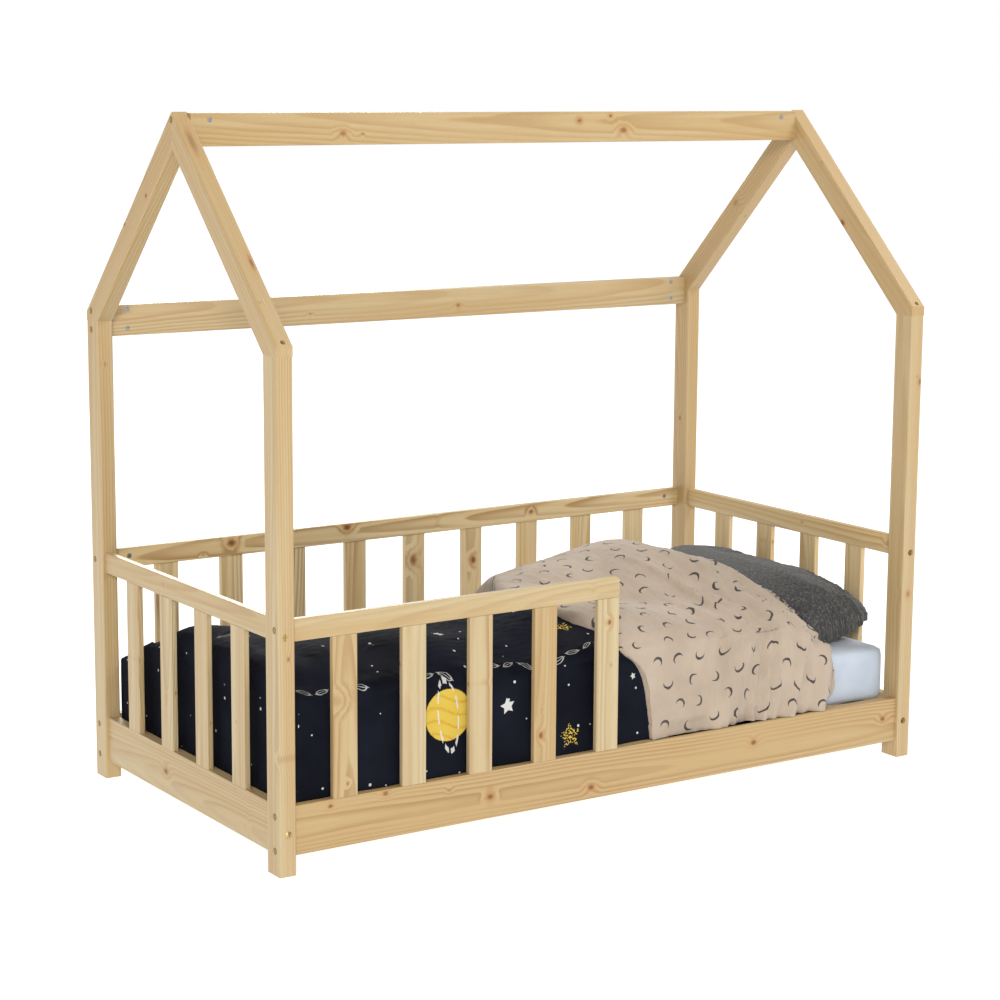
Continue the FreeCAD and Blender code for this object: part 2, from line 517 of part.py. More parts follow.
def duvet_block():
    """Duvet over the mattress and the pillow's lower half, hanging at the front and the foot."""
    foot_x = -INNER_X + SOFT_CLEARANCE
    end_x = MATTRESS_HEAD_X - DUVET_END_FROM_HEAD
    front_y = -GUARD_INNER_Y + SOFT_CLEARANCE
    back_y = MATTRESS_WIDTH / 2 - DUVET_BACK_MARGIN
    hem_z = BOTTOM_RAIL_TOP + DUVET_SKIRT_LIFT
    edge_z = MATTRESS_TOP + DUVET_EDGE_HEIGHT
    length = end_x - foot_x
    side_top = curve([
        (foot_x, 0, edge_z),
        (foot_x + length * DUVET_FOOT_ROLL, 0, MATTRESS_TOP + DUVET_FOOT_HEIGHT),
        (foot_x + length * DUVET_MIDDLE, 0, MATTRESS_TOP + DUVET_MIDDLE_HEIGHT),
        (foot_x + length * DUVET_CREST, 0, MATTRESS_TOP + DUVET_CREST_HEIGHT),
        (end_x - length * DUVET_HEAD_ROLL, 0, MATTRESS_TOP + DUVET_FOOT_HEIGHT),
        (end_x, 0, edge_z)])
    side_rest = Part.makePolygon([FreeCAD.Vector(end_x, 0, edge_z), FreeCAD.Vector(end_x, 0, hem_z),
                                  FreeCAD.Vector(foot_x, 0, hem_z), FreeCAD.Vector(foot_x, 0, edge_z)])
    along = Part.Face(Part.Wire([side_top] + side_rest.Edges))
    along.translate(Y_AXIS * front_y)
    along = along.extrude(Y_AXIS * (back_y - front_y))
    cross_top = Part.Arc(FreeCAD.Vector(foot_x, front_y, edge_z),
                         FreeCAD.Vector(foot_x, (front_y + back_y) / 2, MATTRESS_TOP + DUVET_CROWN_HEIGHT),
                         FreeCAD.Vector(foot_x, back_y, edge_z)).toShape()
    cross_rest = Part.makePolygon([FreeCAD.Vector(foot_x, back_y, edge_z),
                                   FreeCAD.Vector(foot_x, back_y, hem_z),
                                   FreeCAD.Vector(foot_x, front_y, hem_z),
                                   FreeCAD.Vector(foot_x, front_y, edge_z)])
    across = Part.Face(Part.Wire([cross_top] + cross_rest.Edges)).extrude(X_AXIS * length)
    body = along.common(across)
    inside = block((MATTRESS_FOOT_X - SOFT_CLEARANCE, OUTER_X),
                   (-MATTRESS_WIDTH / 2 - SOFT_CLEARANCE, OUTER_Y), (0, MATTRESS_TOP + SOFT_CLEARANCE))
    pillow_room = pillow_block(SOFT_CLEARANCE).fuse(room_under_pillow(SOFT_CLEARANCE))
    return body.cut([inside, pillow_room]).removeSplitter()


nodes["mattress"] = mattress_block()
nodes["pillow"] = pillow_block(0)
nodes["duvet"] = duvet_block()

os.makedirs("parts", exist_ok=True)
for name, shape in nodes.items():
    bad = [solid for solid in shape.Solids if not solid.isValid() or solid.Volume <= 0]
    if bad or not shape.Solids:
        raise ValueError(f"{name} has no sound solid")
    shape.exportStep(f"parts/{name}.step")
    print(name, len(shape.Solids), "solids", round(shape.Volume / 1000.0, 1), "cm3")
print(len(nodes), "nodes")
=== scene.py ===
"""House-frame toddler bed in pine, dressed with its mattress, pillow and printed duvet."""

import logging
import math
import random
from dataclasses import dataclass, field
from enum import Enum

import bpy
import numpy as np
from mathutils import Matrix, Vector, noise


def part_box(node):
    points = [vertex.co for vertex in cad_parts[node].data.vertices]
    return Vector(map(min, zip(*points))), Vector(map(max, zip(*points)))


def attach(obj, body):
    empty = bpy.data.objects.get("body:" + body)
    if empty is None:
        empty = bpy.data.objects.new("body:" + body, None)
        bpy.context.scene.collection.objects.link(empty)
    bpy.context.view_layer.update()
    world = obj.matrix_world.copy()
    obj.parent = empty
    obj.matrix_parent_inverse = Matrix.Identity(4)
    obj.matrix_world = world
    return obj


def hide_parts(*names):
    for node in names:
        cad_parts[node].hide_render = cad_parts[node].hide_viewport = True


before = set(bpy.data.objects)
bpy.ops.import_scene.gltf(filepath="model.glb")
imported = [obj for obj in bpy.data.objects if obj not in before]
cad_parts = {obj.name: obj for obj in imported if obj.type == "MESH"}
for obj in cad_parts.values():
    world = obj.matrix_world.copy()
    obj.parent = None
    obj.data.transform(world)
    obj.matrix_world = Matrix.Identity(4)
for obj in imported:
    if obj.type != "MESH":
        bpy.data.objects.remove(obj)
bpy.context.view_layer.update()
LOG = logging.getLogger("toddler_bed")

Colour = tuple[float, float, float]
Triple = tuple[float, float, float]
Table = tuple[tuple[float, float], ...]
Number = "float | Value"


# --------------------------------------------------------------------------- shader writing
class Value:
    """A number socket, so that shader maths reads as plain expressions."""

    def __init__(self, paint: "Paint", socket: bpy.types.NodeSocket) -> None:
        """Keeps the socket and the tree it is in."""
        self.paint = paint
        self.socket = socket

    def __add__(self, other: Number) -> "Value":
        """Sum."""
        return self.paint.maths("ADD", self, other)

    def __radd__(self, other: float) -> "Value":
        """Sum, with the plain number first."""
        return self.paint.maths("ADD", other, self)

    def __sub__(self, other: Number) -> "Value":
        """Difference."""
        return self.paint.maths("SUBTRACT", self, other)

    def __rsub__(self, other: float) -> "Value":
        """Difference, with the plain number first."""
        return self.paint.maths("SUBTRACT", other, self)

    def __mul__(self, other: Number) -> "Value":
        """Product."""
        return self.paint.maths("MULTIPLY", self, other)

    def __rmul__(self, other: float) -> "Value":
        """Product, with the plain number first."""
        return self.paint.maths("MULTIPLY", other, self)

    def __truediv__(self, other: Number) -> "Value":
        """Quotient."""
        return self.paint.maths("DIVIDE", self, other)

    def __abs__(self) -> "Value":
        """Size without its sign."""
        return self.paint.maths("ABSOLUTE", self)

    def power(self, exponent: float) -> "Value":
        """This value raised to a power."""
        return self.paint.maths("POWER", self, exponent)

    def at_least(self, other: Number) -> "Value":
        """The larger of the two."""
        return self.paint.maths("MAXIMUM", self, other)

    def at_most(self, other: Number) -> "Value":
        """The smaller of the two."""
        return self.paint.maths("MINIMUM", self, other)

    def floor(self) -> "Value":
        """Whole part."""
        return self.paint.maths("FLOOR", self)

    def fraction(self) -> "Value":
        """Part after the point."""
        return self.paint.maths("FRACT", self)

    def sine(self) -> "Value":
        """Sine of an angle in radians."""
        return self.paint.maths("SINE", self)

    def step(self, low: float, high: float) -> "Value":
        """Smooth step of this value.

        Args:
            low: value where the step is 0.
            high: value where the step is 1, which may be below `low`.

        Returns:
            A value from 0 to 1.
        """
        flip = high < low
        node = self.paint.node("ShaderNodeMapRange", {"interpolation_type": "SMOOTHSTEP"},
                               {"Value": self, "From Min": min(low, high), "From Max": max(low, high),
                                "To Min": float(flip), "To Max": float(not flip)})
        return Value(self.paint, node.outputs[0])


class Paint:
    """The node tree of one finish, with the few calls that every finish needs."""

    def __init__(self, name: str) -> None:
        """Makes the material with a lone Principled shader in it.

        Args:
            name: the material's name.
        """
        self.material = bpy.data.materials.new(name)
        self.material.use_nodes = True
        self.tree = self.material.node_tree
        self.tree.nodes.clear()
        self.shader = self.node("ShaderNodeBsdfPrincipled")
        output = self.node("ShaderNodeOutputMaterial")
        self.tree.links.new(self.shader.outputs[0], output.inputs[0])

    def node(self, kind: str, settings: dict | None = None, inputs: dict | None = None) -> bpy.types.Node:
        """Adds one node.

        Args:
            kind: the node's type.
            settings: its properties.
            inputs: numbers, colours or links for its sockets, by name or place.

        Returns:
            The node.
        """
        node = self.tree.nodes.new(kind)
        for key, setting in (settings or {}).items():
            setattr(node, key, setting)
        for key, given in (inputs or {}).items():
            if isinstance(given, Value):
                given = given.socket
            if isinstance(given, bpy.types.NodeSocket):
                self.tree.links.new(given, node.inputs[key])
            else:
                node.inputs[key].default_value = given
        return node

    def maths(self, operation: str, *terms: Number) -> Value:
        """One Math node.

        Args:
            operation: what it works out.
            terms: its numbers or values.

        Returns:
            The result.
        """
        node = self.node("ShaderNodeMath", {"operation": operation}, dict(enumerate(terms)))
        return Value(self, node.outputs[0])

    def vector(self, operation: str, *terms: bpy.types.NodeSocket | Vector | list[float]) -> bpy.types.Node:
        """One Vector Math node."""
        return self.node("ShaderNodeVectorMath", {"operation": operation}, dict(enumerate(terms)))

    def place(self, turn: Matrix | None = None, shift: Vector | None = None,
              stretch: Triple = (1, 1, 1)) -> bpy.types.NodeSocket:
        """The piece's own coordinates in metres, turned, shifted and stretched."""
        coordinates = self.node("ShaderNodeTexCoord").outputs["Object"]
        return self.mapped(coordinates, turn, shift, stretch)

    def cloth(self, stretch: Triple = (1, 1, 1)) -> bpy.types.NodeSocket:
        """The flat cloth's coordinates in metres, from the piece's own UV map."""
        return self.mapped(self.node("ShaderNodeUVMap", {"uv_map": "cloth"}).outputs[0], stretch=stretch)

    def mapped(self, vector: bpy.types.NodeSocket, turn: Matrix | None = None, shift: Vector | None = None,
               stretch: Triple = (1, 1, 1)) -> bpy.types.NodeSocket:
        """A Mapping node on any vector.

        Args:
            vector: the coordinates.
            turn: a turn of them.
            shift: a shift of them.
            stretch: their scale along each axis.

        Returns:
            The mapped coordinates.
        """
        node = self.node("ShaderNodeMapping", None, {"Vector": vector, "Scale": stretch})
        if turn is not None:
            node.inputs["Rotation"].default_value = turn.to_euler("XYZ")
        if shift is not None:
            node.inputs["Location"].default_value = shift
        return node.outputs[0]

    def parts(self, vector: bpy.types.NodeSocket) -> tuple[Value, Value, Value]:
        """The three numbers of a vector."""
        outputs = self.node("ShaderNodeSeparateXYZ", None, {0: vector}).outputs
        return Value(self, outputs[0]), Value(self, outputs[1]), Value(self, outputs[2])

    def joined(self, x: Number, y: Number, z: Number = 0.0) -> bpy.types.NodeSocket:
        """A vector made of three numbers."""
        return self.node("ShaderNodeCombineXYZ", None, {0: x, 1: y, 2: z}).outputs[0]

    def noise(self, vector: bpy.types.NodeSocket, scale: float, detail: float = 2.0,
              seed: Number = 0.0) -> Value:
        """Cloudy noise from 0 to 1, with one pattern for each seed.

        Args:
            vector: where it is read.
            scale: how fine it is.
            detail: how many finer layers it has.
            seed: picks the pattern.

        Returns:
            The noise.
        """
        node = self.node("ShaderNodeTexNoise", {"noise_dimensions": "4D"},
                         {"Vector": vector, "Scale": scale, "Detail": detail, "W": seed})
        return Value(self, node.outputs[0])

    def mixed(self, factor: Number, low: Colour | bpy.types.NodeSocket,
              high: Colour | bpy.types.NodeSocket) -> bpy.types.NodeSocket:
        """Two colours mixed by a factor.

        Args:
            factor: 0 gives `low` and 1 gives `high`.
            low: a colour, or the socket of one.
            high: a colour, or the socket of one.

        Returns:
            The mixed colour's socket.
        """
        colours = [c if isinstance(c, bpy.types.NodeSocket) else (*c, 1.0) for c in (low, high)]
        node = self.node("ShaderNodeMix", {"data_type": "RGBA", "clamp_factor": True},
                         {0: factor, 6: colours[0], 7: colours[1]})
        return node.outputs[2]

    def bump(self, height: Value, depth: float, strength: float = 1.0) -> None:
        """Raises the surface by a height from 0 to 1, times a depth in metres."""
        node = self.node("ShaderNodeBump", None, {"Height": height, "Distance": depth, "Strength": strength})
        self.tree.links.new(node.outputs[0], self.shader.inputs["Normal"])

    def finish(self, colour: bpy.types.NodeSocket, roughness: Value, **plain: float) -> bpy.types.Material:
        """Links colour and roughness to the shader, and sets its plain numbers.

        Args:
            colour: the base colour's socket.
            roughness: how dull the surface is.
            plain: other sockets' numbers, with _ for each space in their names.

        Returns:
            The finished material.
        """
        self.tree.links.new(colour, self.shader.inputs["Base Color"])
        self.tree.links.new(roughness.socket, self.shader.inputs["Roughness"])
        for name, number in plain.items():
            self.shader.inputs[name.replace("_", " ")].default_value = number
        return self.material


# --------------------------------------------------------------------------- timber
class Run(Enum):
    """Which way a board's grain, width and thickness lie."""

    LENGTH = (Vector((1, 0, 0)), Vector((0, 0, 1)))
    END = (Vector((0, 1, 0)), Vector((0, 0, 1)))
    UPRIGHT_LONG = (Vector((0, 0, 1)), Vector((1, 0, 0)))
    UPRIGHT_END = (Vector((0, 0, 1)), Vector((0, 1, 0)))
    BASE = (Vector((0, 1, 0)), Vector((1, 0, 0)))
    FRONT_SLOPE = (Vector((0, 1, 1)).normalized(), Vector((0, -1, 1)).normalized())
    BACK_SLOPE = (Vector((0, -1, 1)).normalized(), Vector((0, 1, 1)).normalized())

    def turn(self) -> Matrix:
        """The turn from the bed's axes to grain, width and thickness."""
        grain, width = self.value
        return Matrix((grain, width, grain.cross(width)))


@dataclass(frozen=True)
class Knot:
    """A knot, as a branch that runs straight through a board."""

    place: Triple
    radius: float
    through: Triple
    dark: float = 1.0


@dataclass(frozen=True)
class Board:
    """What one board needs beside the common pine: its run, its own tone and its knots."""

    node: str
    run: Run
    knots: tuple[Knot, ...] = ()
    warmth: float = 0.35
    contrast: float = 0.5
    pith: tuple[float, float] = (0.02, 0.06)
    pitch: float = 0.0


@dataclass(frozen=True)
class PineFinish:
    """Clear satin lacquer on knotty pine."""

    pale: Colour = (0.555, 0.470, 0.290)
    honey: Colour = (0.475, 0.328, 0.150)
    late_wood: Colour = (0.330, 0.185, 0.062)
    knot_edge: Colour = (0.36, 0.170, 0.060)
    knot_heart: Colour = (0.13, 0.055, 0.022)
    halo: Colour = (0.480, 0.265, 0.095)
    ring: float = 0.0050

    def material(self, board: Board) -> bpy.types.Material:
        """Paints one board.

        Args:
            board: the board's run, tone and knots.

        Returns:
            Its own material, with the grain laid along it.
        """
        low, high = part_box(board.node)
        draw = random.Random(board.node)
        paint = Paint(f"pine_{board.node}")
        turn = board.run.turn()
        place = paint.place(turn, turn @ -(low + high) / 2)
        along, wide, thick = paint.parts(place)
        seed = draw.uniform(0, 50)
        if board.pitch:
            board_number = (wide / board.pitch + 0.5).floor()
            wide = wide - board_number * board.pitch
            seed = board_number * 3.7 + seed
        push, halo, heart, rim = self.knots(paint, board, place, draw)
        wander = paint.noise(paint.joined(along * 1.3, wide * 7.0, thick * 7.0), 1.0, 2.0, seed)
        waver = paint.noise(paint.joined(along * 9.0, wide * 30.0, thick * 30.0), 1.0, 1.0, seed + 9.0)
        slope = draw.uniform(-0.030, 0.030)
        from_pith = wide - (board.pith[0] * draw.choice((-1, 1)) + along * slope)
        deep = thick + (board.pith[1] * draw.choice((-1, 1)) + along * draw.uniform(-0.035, 0.035))
        radius = (from_pith * from_pith + deep * deep).power(0.5)
        rings = (radius + wander * 0.019 + waver * 0.0016 + push) / self.ring
        turn_of_year = rings.fraction()
        late = turn_of_year.step(0.25, 0.86) * turn_of_year.step(1.0, 0.90)
        strength = paint.noise(paint.joined(along * 2.0, wide * 25.0, thick * 25.0), 1.0, 1.0, seed + 21.0)
        fibres = paint.noise(paint.joined(along * 26.0, wide * 1500.0, thick * 1500.0), 1.0, 2.0, seed + 3.0)
        streaks = paint.noise(paint.joined(along * 1.1, wide * 60.0, thick * 60.0), 1.0, 2.0, seed + 5.0)
        tint = (streaks.step(0.30, 0.74) * 0.6 + board.warmth).at_most(1.0)
        colour = paint.mixed(tint, self.pale, self.honey)
        line = (late * strength.step(0.20, 0.70) * (1.10 * board.contrast) + halo * late * 0.25).at_most(0.9)
        colour = paint.mixed(line, colour, self.late_wood)
        colour = paint.mixed((fibres - 0.5) * 0.5 + 0.10, colour, self.late_wood)
        colour = paint.mixed(halo * 0.50, colour, self.halo)
        colour = paint.mixed(rim, colour, self.knot_edge)
        colour = paint.mixed(heart, colour, self.knot_heart)
        paint.bump(late * 0.35 + fibres * 0.25 - heart * 0.8, 0.00022, 0.5)
        gloss = fibres * 0.10 + 0.40 - late * 0.05 + heart * 0.12
        return paint.finish(colour, gloss, Specular_IOR_Level=0.42, Coat_Weight=0.10, Coat_Roughness=0.32)

    @staticmethod
    def knots(paint: Paint, board: Board, place: bpy.types.NodeSocket,
              draw: random.Random) -> tuple[Value, Value, Value, Value]:
        """Fields of all the knots in a board.

        Args:
            paint: the board's tree.
            board: the board, with the knots it must have.
            place: the board's own coordinates.
            draw: the board's random numbers, for pin knots.

        Returns:
            How far the rings bend, the halo, the knots' hearts and their rims.
        """
        low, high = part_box(board.node)
        middle, turn = (low + high) / 2, board.run.turn()
        size = [abs(n) for n in turn @ (high - low)]
        found = []
        for knot in board.knots:
            spot = turn @ (Vector(knot.place) - middle)
            axis = turn @ Vector(knot.through)
            found.append((spot, [0.75 * (1 - abs(axis[0])), 1 - abs(axis[1]), 1 - abs(axis[2])],
                          knot.radius * 0.72, knot.dark))
        for _ in range(max(1, round(size[0] / 0.80))):
            across = draw.choice((1, 2))
            spot = Vector((draw.uniform(-0.42, 0.42) * size[0], draw.uniform(-0.3, 0.3) * size[1],
                           draw.uniform(-0.3, 0.3) * size[2]))
            found.append((spot, [0.75, float(across == 2), float(across == 1)],
                          draw.uniform(0.0020, 0.0032), draw.uniform(0.2, 0.6)))
        wobble = paint.noise(place, 120.0, 2.0, 4.0) * 0.5 + 0.75
        fields = None
        for spot, stretch, size_of_knot, dark in found:
            offset = paint.vector("SUBTRACT", place, spot).outputs[0]
            offset = paint.vector("MULTIPLY", offset, stretch).outputs[0]
            span = paint.vector("LENGTH", offset).outputs["Value"]
            away = Value(paint, span) * wobble / size_of_knot
            made = (away.step(4.2, 0.0) * (size_of_knot * 1.2), away.step(3.2, 0.9) * dark,
                    away.step(1.0, 0.45) * (0.85 * dark), away.step(1.45, 1.05) * (0.75 * dark))
            fields = made if fields is None else (fields[0] + made[0], *(
                a.at_least(b) for a, b in zip(fields[1:], made[1:])))
        return fields


@dataclass
class Timber:
    """All the wooden parts of the frame."""

    finish: PineFinish = field(default_factory=PineFinish)
    # Lighter copy of the pine for the back and head guard boards: painted light, brightening boards that stand
    # in less light.
    painted_light_pine: PineFinish = PineFinish(pale=(0.72, 0.615, 0.390), honey=(0.625, 0.440, 0.205))
    front_y: float = -0.378

    def boards(self) -> list[Board]:
        """Every board with its run, its tone and the knots that show.

        Returns:
            The boards, in the order in which they are painted.
        """
        face, side = (0.0, 1.0, 0.0), (1.0, 0.0, 0.0)
        y = self.front_y
        found = [
            Board("ridge_beam", Run.LENGTH, (
                Knot((-0.392, 0, 1.278), 0.0075, face, 0.55), Knot((0.149, 0, 1.299), 0.0050, face, 0.8),
                Knot((0.225, 0, 1.308), 0.0042, face, 0.8), Knot((0.258, 0, 1.280), 0.0085, face, 0.7)),
                0.60, 0.45),
            Board("eaves_rail", Run.LENGTH, (Knot((0.10, 0.36, 0.906), 0.006, face, 0.6),), 0.35, 0.45),
            Board("front_bottom_rail", Run.LENGTH, (
                Knot((-0.634, y, 0.112), 0.0052, face, 0.85), Knot((-0.521, y, 0.117), 0.0062, face, 0.75),
                Knot((-0.296, y, 0.075), 0.0078, face, 0.9), Knot((-0.067, y, 0.057), 0.0080, face, 0.9),
                Knot((0.329, y, 0.086), 0.0072, face, 0.9), Knot((0.671, y, 0.085), 0.0066, face, 0.9)),
                0.80, 0.75, (0.006, 0.05)),
            Board("back_bottom_rail", Run.LENGTH, (Knot((0.2, -y, 0.07), 0.007, face, 0.9),), 0.5, 0.55),
            Board("front_guard_rail", Run.LENGTH, (), 0.35, 0.30),
            Board("back_guard_rail", Run.LENGTH, (
                Knot((-0.441, 0.37, 0.444), 0.0090, face), Knot((-0.169, 0.37, 0.450), 0.0085, face),
                Knot((0.30, 0.37, 0.440), 0.0060, face, 0.8)), 0.35, 0.75, (0.004, 0.03)),
            Board("foot_bottom_rail", Run.END, (Knot((-0.73, 0.080, 0.078), 0.0088, side, 0.8),), 0.25, 0.55),
            Board("head_bottom_rail", Run.END, (Knot((0.73, -0.12, 0.09), 0.007, side, 0.8),), 0.4, 0.5),
            Board("foot_guard_rail", Run.END, (), 0.45, 0.40),
            Board("head_guard_rail", Run.END, (Knot((0.73, -0.325, 0.440), 0.006, side, 0.35),), 0.45, 0.5),
            Board("foot_back_rafter", Run.BACK_SLOPE, (
                Knot((-0.74, 0.109, 1.165), 0.0050, side, 0.9),
                Knot((-0.74, 0.204, 1.109), 0.0050, side, 0.9)),
                0.55, 0.4),
            Board("foot_front_rafter", Run.FRONT_SLOPE, (
                Knot((-0.725, -0.045, 1.26), 0.0100, face, 0.45),
                Knot((-0.715, -0.25, 1.06), 0.0050, face, 0.8)),
                0.45, 0.45),
            Board("head_front_rafter", Run.FRONT_SLOPE, (Knot((0.707, -0.170, 1.090), 0.0075, side),),
                  0.75, 0.4),
            Board("head_back_rafter", Run.BACK_SLOPE, (Knot((0.707, 0.178, 1.116), 0.0100, side, 0.35),),
                  0.7, 0.4),
            Board("foot_front_post", Run.UPRIGHT_END, (Knot((-0.727, -0.385, 0.214), 0.0065, side, 0.16),),
                  0.25, 0.45),
            Board("foot_back_post", Run.UPRIGHT_END, (), 0.45, 0.4),
            Board("head_front_post", Run.UPRIGHT_END, (
                Knot((0.723, -0.385, 0.343), 0.0080, face, 0.45),
                Knot((0.735, -0.385, 0.78), 0.0070, face, 0.6)),
                0.45, 0.4),
            Board("head_back_post", Run.UPRIGHT_END, (Knot((0.707, 0.36, 0.62), 0.005, side, 0.8),),
                  0.6, 0.4),
            Board("front_base_cleat", Run.LENGTH, (), 0.5, 0.5),
            Board("back_base_cleat", Run.LENGTH, (), 0.5, 0.5),
            Board("base_slats", Run.BASE, (), 0.4, 0.55, pitch=self.base_pitch()),
        ]
        slat_knots = {"front_guard_slat_4": Knot((-0.184, y, 0.175), 0.0068, face, 0.95),
                      "front_guard_slat_5": Knot((-0.029, y, 0.372), 0.0055, face, 0.9),
                      "front_guard_slat_1": Knot((-0.612, y, 0.300), 0.0100, face, 0.10),
                      "back_guard_slat_5": Knot((-0.004, -y, 0.363), 0.0110, face, 0.75),
                      "back_guard_slat_6": Knot((0.149, -y, 0.347), 0.0080, face, 0.95)}
        looks = {"front_guard_slat_1": (0.45, 0.95), "front_guard_slat_4": (0.70, 0.50),
                 "back_guard_slat_3": (0.2, 0.85), "front_guard_slat_2": (0.20, 0.35)}
        for side_name, run, count in (("front", Run.UPRIGHT_LONG, 5), ("back", Run.UPRIGHT_LONG, 9),
                                      ("foot", Run.UPRIGHT_END, 4), ("head", Run.UPRIGHT_END, 4)):
            for number in range(1, count + 1):
                name = f"{side_name}_guard_slat_{number}"
                draw = random.Random(f"look {name}")
                warmth, contrast = looks.get(name, (draw.uniform(0.05, 0.35), draw.uniform(0.40, 0.65)))
                knots = (slat_knots[name],) if name in slat_knots else ()
                found.append(Board(name, run, knots, warmth, contrast, (draw.uniform(0, 0.03), 0.05)))
        return found

    @staticmethod
    def base_pitch() -> float:
        """Distance between the middles of two neighbouring base slats.

        Returns:
            The distance in metres.
        """
        low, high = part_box("base_slats")
        slat_width, slats = 0.060, 13
        return (high.x - low.x - slat_width) / (slats - 1)

    def build(self) -> str:
        """Paints each board's node.

        Returns:
            What was done, for the log.
        """
        boards = self.boards()
        for board in boards:
            # The back and head guard boards take the lighter copy of the pine: painted light.
            finish = self.painted_light_pine if board.node.startswith(("back_guard", "head_guard")) else self.finish
            give(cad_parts[board.node], finish.material(board))
        return f"{len(boards)} nodes painted"


def give(piece: bpy.types.Object, material: bpy.types.Material) -> None:
    """Puts one material on a piece.

    Args:
        piece: a CAD node's object, or a new piece.
        material: what it is painted with.
    """
    for place in piece.material_slots:
        place.material = material
    if not piece.material_slots:
        piece.data.materials.append(material)


# --------------------------------------------------------------------------- fittings
@dataclass(frozen=True)
class MetalFinish:
    """Turned or plated metal with fine scratches."""

    name: str
    bright: Colour
    dull: Colour
    roughness: float

    def material(self) -> bpy.types.Material:
        """Paints the metal, with scratches and cloudy plating.

        Returns:
            The finished material.
        """
        paint = Paint(self.name)
        place = paint.place()
        cloud = paint.noise(place, 260.0, 3.0)
        scratch = paint.noise(paint.place(stretch=(1.0, 9.0, 1.0)), 900.0, 2.0, 2.0)
        colour = paint.mixed(cloud.step(0.30, 0.70), self.bright, self.dull)
        paint.bump(scratch, 0.00004, 0.4)
        return paint.finish(colour, scratch * 0.22 + self.roughness, Metallic=1.0)


@dataclass(frozen=True)
class BeechFinish:
    """Plain beech with its short dark flecks."""

    pale: Colour = (0.60, 0.400, 0.235)
    fleck: Colour = (0.36, 0.205, 0.105)

    def material(self) -> bpy.types.Material:
        """Paints the beech.

        Returns:
            The finished material.
        """
        paint = Paint("beech")
        fleck = paint.noise(paint.place(stretch=(1.0, 1.0, 0.18)), 700.0, 2.0)
        colour = paint.mixed(fleck.step(0.56, 0.72), self.pale, self.fleck)
        paint.bump(fleck, 0.0001, 0.4)
        return paint.finish(colour, fleck * 0.2 + 0.5)


@dataclass(frozen=True)
class TapeFinish:
    """Flat woven tape with a herringbone face."""

    pale: Colour = (0.74, 0.72, 0.67)
    # Colour of the rib hollows: painted shade.
    shade: Colour = (0.47, 0.455, 0.42)
    thread: float = 0.0016

    def material(self) -> bpy.types.Material:
        """Paints the woven tape.

        Returns:
            The finished material.
        """
        paint = Paint("tape")
        x, y, _ = paint.parts(paint.place())
        zigzag = abs((y / (8 * self.thread)).fraction() - 0.5)
        ribs = ((x / self.thread + zigzag * 8.0).fraction() * math.tau).sine() * 0.5 + 0.5
        paint.bump(ribs, 0.0003, 0.6)
        # The colour follows the rib height, so the hollows take the darker colour: painted shade in the
        # grooves, on top of the bump.
        return paint.finish(paint.mixed(ribs, self.shade, self.pale), ribs * 0.1 + 0.75)


@dataclass
class Fittings:
    """Bolts, screws, dowels and tapes."""

    steel: MetalFinish = MetalFinish("zinc_steel", (0.46, 0.45, 0.43), (0.25, 0.24, 0.23), 0.34)
    brass: MetalFinish = MetalFinish("brass", (0.62, 0.47, 0.20), (0.36, 0.25, 0.10), 0.24)

    def build(self) -> str:
        """Paints each group of fittings.

        Returns:
            What was done, for the log.
        """
        steel, beech = self.steel.material(), BeechFinish().material()
        for name in ("rail_bolts", "barrel_nuts", "rafter_screws", "base_screws", "cleat_screws"):
            give(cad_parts[name], steel)
        for name in ("frame_dowels", "slat_dowels"):
            give(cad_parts[name], beech)
        give(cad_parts["panel_screws"], self.brass.material())
        give(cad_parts["base_tapes"], TapeFinish().material())
        return "metal, dowels and tapes painted"


# --------------------------------------------------------------------------- bedding finishes
@dataclass(frozen=True)
class JerseyFinish:
    """Fine knitted cover of the mattress."""

    pale: Colour = (0.480, 0.535, 0.610)
    shade: Colour = (0.410, 0.470, 0.550)
    stitch: float = 0.0012

    def material(self) -> bpy.types.Material:
        """Paints the knitted cover, with its rows of stitches.

        Returns:
            The finished material.
        """
        paint = Paint("mattress_jersey")
        x, y, z = paint.parts(paint.place())
        across = ((x + y) * (math.tau / self.stitch)).sine()
        rows = ((z + (x + y) * 0.02) * (math.tau / self.stitch)).sine()
        knit = (across * rows) * 0.5 + 0.5
        cloud = paint.noise(paint.place(), 14.0, 3.0)
        colour = paint.mixed(cloud.step(0.3, 0.75), self.pale, self.shade)
        colour = paint.mixed(knit * 0.22, colour, self.shade)
        paint.bump(knit, 0.00018, 0.5)
        return paint.finish(colour, knit * 0.08 + 0.84, Sheen_Weight=0.25, Sheen_Roughness=0.5)


